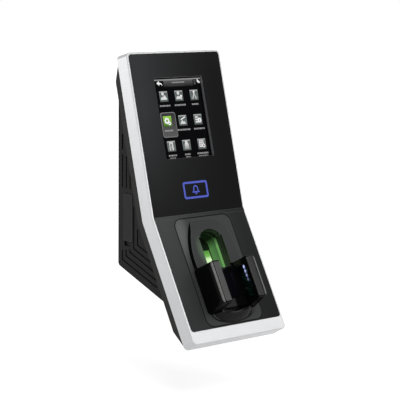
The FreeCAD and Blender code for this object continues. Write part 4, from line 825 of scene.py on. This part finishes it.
def board_group():
    """Green solder mask with paler copper runs and tinned dots under it."""
    tree, given, end = new_group("circuit_runs", [
        ("Mask", (0.01, 0.09, 0.035, 1)), ("Run", (0.03, 0.17, 0.07, 1)), ("Tin", (0.55, 0.55, 0.5, 1))],
        ["Color", "Height"])
    place = object_place(tree)
    turned = add_node(tree, "Mapping", Vector=place, Rotation=(math.radians(90), 0, 0)).outputs[0]
    runs = add_node(tree, "TexBrick", Vector=turned, Color1=(0, 0, 0, 1), Color2=(0, 0, 0, 1), Mortar=WHITE,
                    Scale=140.0, Mortar_Size=0.05, Mortar_Smooth=0.1).outputs["Color"]
    dots = add_node(tree, "TexVoronoi", Vector=place, Scale=220.0).outputs["Distance"]
    dot = calculate(tree, "LESS_THAN", dots, 0.16)
    plug(tree, end["Color"], mixed(tree, dot, mixed(tree, runs, given["Mask"], given["Run"]), given["Tin"]))
    plug(tree, end["Height"], calculate(tree, "MAXIMUM", runs, dot))
    return tree


green_board = patterned("green_board", board_group(), 0.03, {"Roughness": 0.3})
inner_black = finish("inner_black", (0.018, 0.018, 0.019), 0.55, grain=2000, contrast=0.5, depth=0.03)
copper_track = finish("copper_track", (0.72, 0.36, 0.2), 0.35, grain=1500, contrast=0.3, depth=0.02,
                      Metallic=1.0)
soften("front_chassis", 0.15, inner_black)
soften("fingerprint_camera", 0.2, inner_black)
for node in ("prism_light_board", "left_led_board", "right_led_board", "key_board"):
    dress(node, green_board)
dress("rfid_antenna", copper_track)


def islands(node):
    """The vertices of each separate solid in a CAD node."""
    shape = merged(node)
    shape.verts.ensure_lookup_table()
    left, found = set(shape.verts), []
    while left:
        reached, edge = set(), {left.pop()}
        while edge:
            reached |= edge
            edge = {e.other_vert(v) for v in edge for e in v.link_edges} - reached
        left -= reached
        found.append([v.co.copy() for v in reached])
    shape.free()
    return sorted(found, key=lambda places: [round(sum(axis) / len(places), 4) for axis in zip(*places)])


def box_of(places):
    """The lowest and highest corner of some points."""
    return (Vector(min(axis) for axis in zip(*places)), Vector(max(axis) for axis in zip(*places)))


# ---- Finger guides ----
# One gloss-black moulding: two wings with a channel between them, and a rounded lip at the foot.
# Its polish carries faint handling marks, and the channel's floor is dark.
WING_END = 77.0          # lower end of the wings' feet, below the bend
CHANNEL_HALF = 13.0
LIP_FOOT = 0.8           # the thin ring under the lip
LIP_HEIGHT = 4.8
LIP_POINTS = 33
RIM_HEIGHT = 17.2        # the wings' rims are above this,
RIM_START = 18.8         # and this far out or more


def without_lip(shape):
    """Cuts the guide's plain lip away below its wings, and rounds the wings' inner corners."""
    bmesh.ops.bisect_plane(shape, geom=shape.verts[:] + shape.edges[:] + shape.faces[:],
                           plane_co=(0, -WING_END - 0.05, 0), plane_no=(0, -1, 0), clear_outer=True)
    bmesh.ops.holes_fill(shape, edges=[e for e in shape.edges if e.is_boundary], sides=0)
    corners = [e for e in shape.edges if abs(e.verts[0].co.z - e.verts[1].co.z) > 8
               and all(abs(abs(v.co.x) - CHANNEL_HALF) < 0.01 and -44 < v.co.y < -41 for v in e.verts)]
    round_edges(shape, corners, 2.0, 6)


def wing_rim(place, direction):
    """Picks the narrow rims outside the strips on the wings, which are painted pale grey as a painted
    highlight.
    """
    return 1 if place.z > RIM_HEIGHT and abs(place.x) > RIM_START else 0


# Painted highlight: the wings' outer rims are pale grey.
rim_highlight = finish("rim_highlight", (0.2, 0.2, 0.195), 0.3, grain=900, contrast=0.6, depth=0.005, shine=0.3)
soften("tunnel_body", 0.35, gloss_black, rim_highlight, segments=4, before=without_lip, choose=wing_rim,
       plane=sensor_front)

# The lip: a rounded bowl's edge below the channel, on its thin ring.
lip = bmesh.new()
lip_black = finish("lip_black", (0.003, 0.003, 0.0032), 0.2, grain=900, contrast=0.4, depth=0.01, shine=0.12)
stations = [(20.0, 8.2, 0.0), (20.0, 8.2, LIP_FOOT - 0.15), (19.85, 8.05, LIP_FOOT), (17.6, 7.9, LIP_FOOT),
            (17.3, 7.6, LIP_FOOT + 0.25)]
for step in range(1, 7):
    share = step / 6
    stations.append((17.3 - 3.4 * share, 7.6 - 4.4 * share,
                     LIP_FOOT + 0.25 + 3.3 * share + 0.4 * math.sin(math.pi * share)))
stations += [(13.75, 3.05, LIP_HEIGHT - 0.25), (13.55, 2.85, LIP_HEIGHT - 0.08), (13.2, 2.5, LIP_HEIGHT),
             (12.0, 1.5, LIP_HEIGHT)]
previous = None
for half, reach, height in stations:
    ring = [lip.verts.new((half * math.cos(turn), -WING_END - reach * math.sin(turn), height))
            for turn in (math.pi * step / (LIP_POINTS - 1) for step in range(LIP_POINTS))]
    ring += [lip.verts.new((side * half * 0.96, -WING_END + 2.0, height)) for side in (-1, 1)]
    loop_edges = [lip.edges.new((ring[i], ring[i - 1])) for i in range(len(ring))]
    if previous:
        bmesh.ops.bridge_loops(lip, edges=previous + loop_edges)
    else:
        lip.faces.new(ring)
    previous = loop_edges
lip.faces.new(ring)
bmesh.ops.recalc_face_normals(lip, faces=lip.faces)
if lip.calc_volume(signed=True) < 0:
    bmesh.ops.reverse_faces(lip, faces=lip.faces)
move(lip, sensor_front)
keep_flats_flat(new_piece("finger_lip", lip, "gloss_black", lip_black, smooth=True))

# The strips let into the tops of the wings are satin grey, with a fine grain. Their colour is painted lighter
# on the left and darker to the right, as painted light.
cap_grey = finish("cap_grey", (0.062, 0.0635, 0.062), 0.4, grain=2600, contrast=0.5, depth=0.02, edge_highlight=0.08,
                  shine=0.1)
grade(cap_grey, 2.3, 0.0)
for side in ("left", "right"):
    soften(side + "_wing_cap", 0.3, cap_grey)

# Infra-red windows in the inner walls and the channel's floor: smoky plastic over rows of emitters.
smoky = finish("smoky", (0.3, 0.3, 0.36), 0.08, grain=500, contrast=0.2, depth=0.0, shine=0.08,
               Transmission_Weight=1.0, IOR=1.2)
for node in ("left_led_window", "right_led_window"):
    soften(node, 0.12, smoky)
vein_black = finish("vein_black", (0.004, 0.0035, 0.006), 0.1, grain=500, contrast=0.2, depth=0.0, shine=0.08)
soften("vein_window", 0.12, vein_black)
soften("vein_camera", 0.2, inner_black)

LED_COUNT = 4
LENS_R = 1.0
LENS_PITCH = 3.3
LENS_OUT = 10.6          # above the sensor plane
# The emitter lenses have a painted glow, strongest at the top of each row and fading downwards: a painted
# highlight.
lens_glow = finish("lens_glow", (0.4, 0.42, 0.5), 0.2, grain=900, contrast=0.1, depth=0.0)
light_by(lens_glow, (0.6, 0.66, 1.0), fade(lens_glow, UP, -60.0, -48.0, 0.1, 2.6))


def bead(shape, radius, stretch, place, segments, rings):
    """A stretched ball."""
    made = bmesh.ops.create_uvsphere(shape, u_segments=segments, v_segments=rings, radius=radius)["verts"]
    bmesh.ops.scale(shape, vec=stretch, verts=made)
    bmesh.ops.translate(shape, vec=place, verts=made)


for side, node in ((-1, "left_led_board"), (1, "right_led_board")):
    low, high = box_of([sensor_front.inverted() @ v.co for v in frame["nodes"][node].data.vertices])
    face = min(abs(low.x), abs(high.x))
    lenses = bmesh.new()
    for step in range(LED_COUNT):
        place = (side * (face - 0.04), high.y - 1.6 - LENS_PITCH * step, LENS_OUT)
        bead(lenses, LENS_R, (0.06, 1.4, 1), place, 16, 8)
    move(lenses, sensor_front)
    new_piece(node.replace("board", "lenses"), lenses, "circuit_board", lens_glow, smooth=True)

# ---- Rear housing ----
# One black moulding with a spark-eroded texture: a tray behind the front and a wedge that stands it
# off the wall, with ribbed sides, sound slots below and a pocket for the connectors.
housing_black = finish("housing_black", (0.0065, 0.0067, 0.0067), 0.5, grain=1700, contrast=0.8, depth=0.05,
                       edge_highlight=0.06, shine=0.1)
# The tray's sides are painted lighter than the rest of the housing: painted light.
tray_side_lit = finish("tray_side_lit", (0.026, 0.0258, 0.0245), 0.5, grain=1700, contrast=0.8, depth=0.05,
                    edge_highlight=0.04, shine=0.12)
TRAY_HALF = 42.2 * MM    # the tray's sides are outside this


def tray_side(place, direction):
    """Picks the outer sides of the tray behind the front, which are painted lighter than the wedge as painted
    light.
    """
    return 1 if abs(place.x) > TRAY_HALF and abs(direction.x) > 0.5 else 0


soften("rear_housing", 0.3, housing_black, tray_side_lit, choose=tray_side)

# ---- USB cover ----
# A soft rubber flap over the socket in the left side, hinged at its top edge, with three grip ribs
# above the notch where a fingernail lifts it.
rubber = finish("rubber", (0.022, 0.0224, 0.023), 0.6, grain=2200, contrast=0.6, depth=0.03, edge_highlight=0.06,
                shine=0.15)
soften("usb_cover", 0.35, rubber)
cover_low, cover_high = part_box("usb_cover")
RIB_COUNT = 3
RIB_PITCH = 1.6 * MM
RIB_R = 0.5 * MM
ribs = bmesh.new()
rib_stretch = (0.55, (cover_high.y - cover_low.y) * 0.26 / RIB_R, 1)
for step in range(RIB_COUNT):
    bead(ribs, RIB_R, rib_stretch, (cover_low.x + 0.12 * MM, (cover_low.y + cover_high.y) / 2,
                                    cover_low.z + 6.5 * MM + step * RIB_PITCH), 12, 10)
new_piece("cover_ribs", ribs, "cover_rubber", rubber, body="usb_cover", smooth=True)

# The socket behind it: a folded steel shell with four gilt contacts on its tongue.
jack_steel = finish("jack_steel", (0.46, 0.46, 0.465), 0.3, grain=1300, contrast=0.25, depth=0.01,
                    Metallic=1.0)
gilt = finish("gilt", (0.85, 0.62, 0.25), 0.25, grain=1500, contrast=0.2, depth=0.01, Metallic=1.0)
soften("usb_port", 0.1, jack_steel)
port_low, port_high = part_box("usb_port")
contacts = bmesh.new()


def bar(shape, corner, opposite, rounding=0.0):
    """A small bar between two corners, its edges rounded."""
    low, high = (Vector(ends) for ends in zip(*(sorted(pair) for pair in zip(corner, opposite))))
    made = bmesh.ops.create_cube(shape, size=1)["verts"]
    bmesh.ops.scale(shape, vec=high - low, verts=made)
    bmesh.ops.translate(shape, vec=(high + low) / 2, verts=made)
    if rounding:
        round_edges(shape, list({e for v in made for e in v.link_edges}), rounding, 2, clamp=False)


def spread(count, pitch):
    """Places at a pitch, centred on 0."""
    return [(step - (count - 1) / 2) * pitch for step in range(count)]


PORT_CONTACTS = 4
port_middle = (port_low + port_high) / 2
tongue_face = port_middle.y + 0.2 * MM
for z in (port_middle.z + along for along in spread(PORT_CONTACTS, 2.3 * MM)):
    bar(contacts, (port_low.x + 3.4 * MM, tongue_face - 0.08 * MM, z - 0.5 * MM),
        (port_high.x - 3.0 * MM, tongue_face + 0.05 * MM, z + 0.5 * MM), 0.03 * MM)
new_piece("port_contacts", contacts, "jack_metal", gilt)

# ---- Wall plate ----
# Zinc-plated sheet steel, punched and folded, which the housing hangs on by two hooks.
zinc = finish("zinc", (0.45, 0.458, 0.465), 0.38, grain=900, contrast=0.5, depth=0.02, Metallic=1.0)
soften("wall_plate", 0.2, zinc)

# ---- Main board ----
# A green circuit board on four bosses of the chassis, with black chips on gull-wing leads, a coin
# cell in a steel can, a blue relay and a small speaker over the slots.
dress("main_board", green_board)
chip_black = finish("chip_black", (0.022, 0.022, 0.023), 0.5, grain=3200, contrast=0.5, depth=0.02)
soften("board_chips", 0.2, chip_black)
tin = finish("tin", (0.66, 0.66, 0.66), 0.32, grain=1800, contrast=0.2, depth=0.01, Metallic=1.0)
LEAD_PITCH = 1.5 * MM
leads = bmesh.new()
for places in islands("board_chips"):
    low, high = box_of(places)
    shoulder = (low.y + high.y) / 2
    # Each lead is a shoulder, a leg and a foot: how far out they start and end, low, high and half width.
    gull_wing = ((-0.2 * MM, 0.5 * MM, shoulder - 0.1 * MM, shoulder + 0.1 * MM, 0.25 * MM),
                 (0.4 * MM, 0.6 * MM, low.y + 0.04 * MM, shoulder + 0.08 * MM, 0.24 * MM),
                 (0.44 * MM, 1.0 * MM, low.y, low.y + 0.18 * MM, 0.25 * MM))
    for along in spread(int((high.z - low.z) / LEAD_PITCH), LEAD_PITCH):
        z = (low.z + high.z) / 2 + along
        for side, edge in ((-1, low.x), (1, high.x)):
            for near, far, foot, top, half in gull_wing:
                bar(leads, (edge + side * near, foot, z - half), (edge + side * far, top, z + half))
new_piece("chip_leads", leads, "chip_black", tin)
soften("backup_battery", 0.4, jack_steel)
relay_blue = finish("relay_blue", (0.02, 0.06, 0.3), 0.35, grain=1500, contrast=0.3, depth=0.01)
soften("relay", 0.5, relay_blue)
soften("speaker", 0.25, jack_steel)

# ---- Connectors ----
# Two green clamp blocks with slotted screws, and a shielded network socket with eight gilt wires.
terminal_green = finish("terminal_green", (0.02, 0.2, 0.07), 0.4, grain=1600, contrast=0.3, depth=0.02)
soften("terminal_blocks", 0.15, terminal_green)
soften("ethernet_jack", 0.2, jack_steel)
WAYS = 5
WELL_SIDE = 2.4 * MM
clamps = bmesh.new()
for places in islands("terminal_blocks"):
    low, high = box_of(places)
    pitch = (high.z - low.z) / WAYS
    for step in range(WAYS):
        centre = Vector((high.x - 1.2 * MM - WELL_SIDE / 2, (low.y + high.y) / 2 + 1.2 * MM,
                         low.z + pitch * (step + 0.5)))
        made = bmesh.ops.create_cone(clamps, cap_ends=True, segments=20, radius1=WELL_SIDE * 0.46,
                                     radius2=WELL_SIDE * 0.46, depth=2.2 * MM)["verts"]
        bmesh.ops.rotate(clamps, cent=(0, 0, 0), matrix=Matrix.Rotation(math.radians(90), 3, "X"), verts=made)
        bmesh.ops.translate(clamps, vec=centre, verts=made)
        rim = {e for v in made for e in v.link_edges
               if all(abs(w.co.y - centre.y - 1.1 * MM) < 1e-6 for w in e.verts)}
        round_edges(clamps, list(rim), 0.15 * MM, 2, clamp=False)
        for side in (-1, 1):    # the head's two halves, with its slot between them
            bar(clamps, centre + Vector((-0.9, 1.1, side * 0.2)) * MM,
                centre + Vector((0.9, 1.4, side * 0.9)) * MM, 0.06 * MM)
new_piece("clamp_screws", clamps, "terminal_green", tin)
jack_low, jack_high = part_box("ethernet_jack")
WIRE_COUNT = 8
wires = bmesh.new()
jack_middle = (jack_low + jack_high) / 2
for x in (jack_middle.x + along for along in spread(WIRE_COUNT, 1.02 * MM)):
    bar(wires, (x - 0.2 * MM, jack_low.y + 3.0 * MM, jack_low.z + 1.5 * MM),
        (x + 0.2 * MM, jack_low.y + 3.4 * MM, jack_low.z + 13.9 * MM), 0.08 * MM)
new_piece("jack_wires", wires, "jack_metal", gilt)

# Two sprung earthing tabs are pressed out of the jack's shell, and its seam runs down the middle.
TAB = (2.2 * MM, 5.2 * MM)
tabs = bmesh.new()
for side in (-1, 1):
    x = jack_middle.x + side * 4.2 * MM
    sprung = bmesh.ops.create_grid(tabs, x_segments=1, y_segments=4, size=0.5)["verts"]
    bmesh.ops.scale(tabs, vec=(TAB[0], TAB[1], 1), verts=sprung)
    bmesh.ops.rotate(tabs, cent=(0, 0, 0), matrix=Matrix.Rotation(math.radians(90), 3, "X"), verts=sprung)
    for v in sprung:
        v.co.y += 0.45 * MM * math.cos(v.co.z / TAB[1] * math.pi)
    bmesh.ops.translate(tabs, vec=(x, jack_high.y, jack_low.z + 5.5 * MM), verts=sprung)
bmesh.ops.recalc_face_normals(tabs, faces=tabs.faces)
bmesh.ops.solidify(tabs, geom=tabs.faces[:], thickness=0.2 * MM)
bar(tabs, (jack_middle.x - 0.12 * MM, jack_high.y - 0.02 * MM, jack_low.z + 1.0 * MM),
    (jack_middle.x + 0.12 * MM, jack_high.y + 0.06 * MM, jack_high.z - 1.0 * MM), 0.03 * MM)
new_piece("jack_tabs", tabs, "jack_metal", jack_steel)

# ---- Switches ----
# Two small sealed switches. The tamper switch has a white plunger with a coil spring, which the wall
# plate holds in, and the reset switch has a short button at the bottom of a hole.
for node in ("reset_switch", "tamper_switch"):
    soften(node, 0.2, chip_black)
soften("reset_button", 0.15, chip_black)
plunger_white = finish("plunger_white", (0.72, 0.72, 0.7), 0.4, grain=1800, contrast=0.12, depth=0.01)
soften("tamper_plunger", 0.15, plunger_white)
spring_steel = finish("spring_steel", (0.6, 0.6, 0.61), 0.28, grain=1200, contrast=0.2, depth=0.005,
                      Metallic=1.0)
spring_low, spring_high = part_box("tamper_spring")
spring_middle = (spring_low + spring_high) / 2
WIRE_R = 0.24 * MM
COIL_TURNS = 4.5
STEPS_PER_TURN = 20
coil = bmesh.new()
wire = bmesh.ops.create_circle(coil, cap_ends=True, segments=10, radius=WIRE_R)["verts"]
coil_r = (spring_high.x - spring_low.x) / 2 - WIRE_R
bmesh.ops.translate(coil, vec=spring_middle + Vector((coil_r, 0, 0)), verts=wire)
bmesh.ops.translate(coil, vec=(0, spring_low.y + WIRE_R - spring_middle.y, 0), verts=wire)
steps = int(COIL_TURNS * STEPS_PER_TURN)
climb = (spring_high.y - spring_low.y - 2 * WIRE_R) / steps
bmesh.ops.spin(coil, geom=coil.faces[:] + coil.edges[:] + coil.verts[:], cent=spring_middle, axis=(0, 1, 0),
               dvec=(0, climb, 0), angle=math.radians(360 * COIL_TURNS), steps=steps, use_duplicate=False)
bmesh.ops.remove_doubles(coil, verts=coil.verts, dist=1e-7)
bmesh.ops.recalc_face_normals(coil, faces=coil.faces)
coil_spring = new_piece("coil_spring", coil, "screw_steel", spring_steel,
                        stands_for="tamper_spring", smooth=True)
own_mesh(coil_spring)

# ---- Screws ----
# Cross-recessed screws with rounded heads: four in the housing, four small ones in the board, and
# the lock screw that holds the housing to its wall plate.
THREAD_STEP = 0.5 * MM


def push_ring(part, edges, radius, drop):
    """Extrudes a ring of edges to a new radius and depth and returns the new ring."""
    made = bmesh.ops.extrude_edge_only(part, edges=edges)["geom"]
    for v in (v for v in made if isinstance(v, bmesh.types.BMVert)):
        flat = Vector((v.co.x, v.co.y, 0)).normalized() * radius
        v.co = (flat.x, flat.y, -drop)
    return [e for e in made if isinstance(e, bmesh.types.BMEdge)]


def cross_screw(shape, head, into, head_r, head_high, shank_r, length):
    """A screw from the middle of its head's top, with a raised head, a cross recess and a threaded shank."""
    part = bmesh.new()
    arm, reach = head_r * 0.16, head_r * 0.62
    plus = [(arm, reach), (arm, arm), (reach, arm), (reach, -arm), (arm, -arm), (arm, -reach), (-arm, -reach),
            (-arm, -arm), (-reach, -arm), (-reach, arm), (-arm, arm), (-arm, reach)]
    top = [part.verts.new((x, y, 0)) for x, y in plus]
    plus_edges = [part.edges.new((top[i], top[i - 1])) for i in range(len(top))]
    crown = bmesh.ops.create_circle(part, segments=24, radius=head_r * 0.86)["verts"]
    side = list({e for v in crown for e in v.link_edges})
    bmesh.ops.bridge_loops(part, edges=plus_edges + side)
    rings = [(head_r * 0.97, head_high * 0.14), (head_r, head_high * 0.4), (head_r, head_high),
             (shank_r, head_high)]
    for turn in range(int((length - 1.0 * MM) / THREAD_STEP)):
        rings.append((shank_r * (0.86 if turn % 2 else 1.0), head_high + THREAD_STEP * (turn + 1)))
    for radius, drop in rings + [(shank_r * 0.5, head_high + length)]:
        side = push_ring(part, side, radius, drop)
    bmesh.ops.contextual_create(part, geom=side)
    sunk = bmesh.ops.extrude_edge_only(part, edges=plus_edges)["geom"]
    for v in (v for v in sunk if isinstance(v, bmesh.types.BMVert)):
        v.co = Vector((v.co.x * 0.7, v.co.y * 0.7, -head_high * 0.6))
    bmesh.ops.contextual_create(part, geom=[e for e in sunk if isinstance(e, bmesh.types.BMEdge)])
    bmesh.ops.recalc_face_normals(part, faces=part.faces)
    turn = (-Vector(into)).to_track_quat("Z", "Y").to_matrix().to_4x4()
    move(part, Matrix.Translation(head) @ turn)
    copied = bpy.data.meshes.new("screw")
    part.to_mesh(copied)
    part.free()
    shape.from_mesh(copied)
    bpy.data.meshes.remove(copied)


def screws(node, name, direction, head_r, head_high, shank_r):
    """Detailed screws in the places of a CAD node's, each driven in its own direction."""
    made = bmesh.new()
    for places in islands(node):
        into = direction(places).normalized()
        reaches = [place.dot(into) for place in places]
        top = [place for place, reach in zip(places, reaches) if reach < min(reaches) + 1e-5]
        head = sum(top, Vector()) / len(top)
        length = max(reaches) - min(reaches) - head_high
        cross_screw(made, head, into, head_r, head_high, shank_r, length)
    new_piece(name, made, "screw_steel", spring_steel, stands_for=node)


def housing_direction(places):
    plane = display_front if places[0].z > 0 else sensor_front
    return plane.to_3x3() @ Vector((0, 0, 1))


screws("housing_screws", "housing_cross_screws", housing_direction, 2.8 * MM, 1.8 * MM, 1.4 * MM)
screws("board_screws", "board_cross_screws", lambda places: Vector((0, 1, 0)), 2.1 * MM, 1.4 * MM, 1.0 * MM)
screws("lock_screw", "lock_cross_screw", lambda places: Vector((0, 0, 1)), 2.8 * MM, 1.8 * MM, 1.4 * MM)
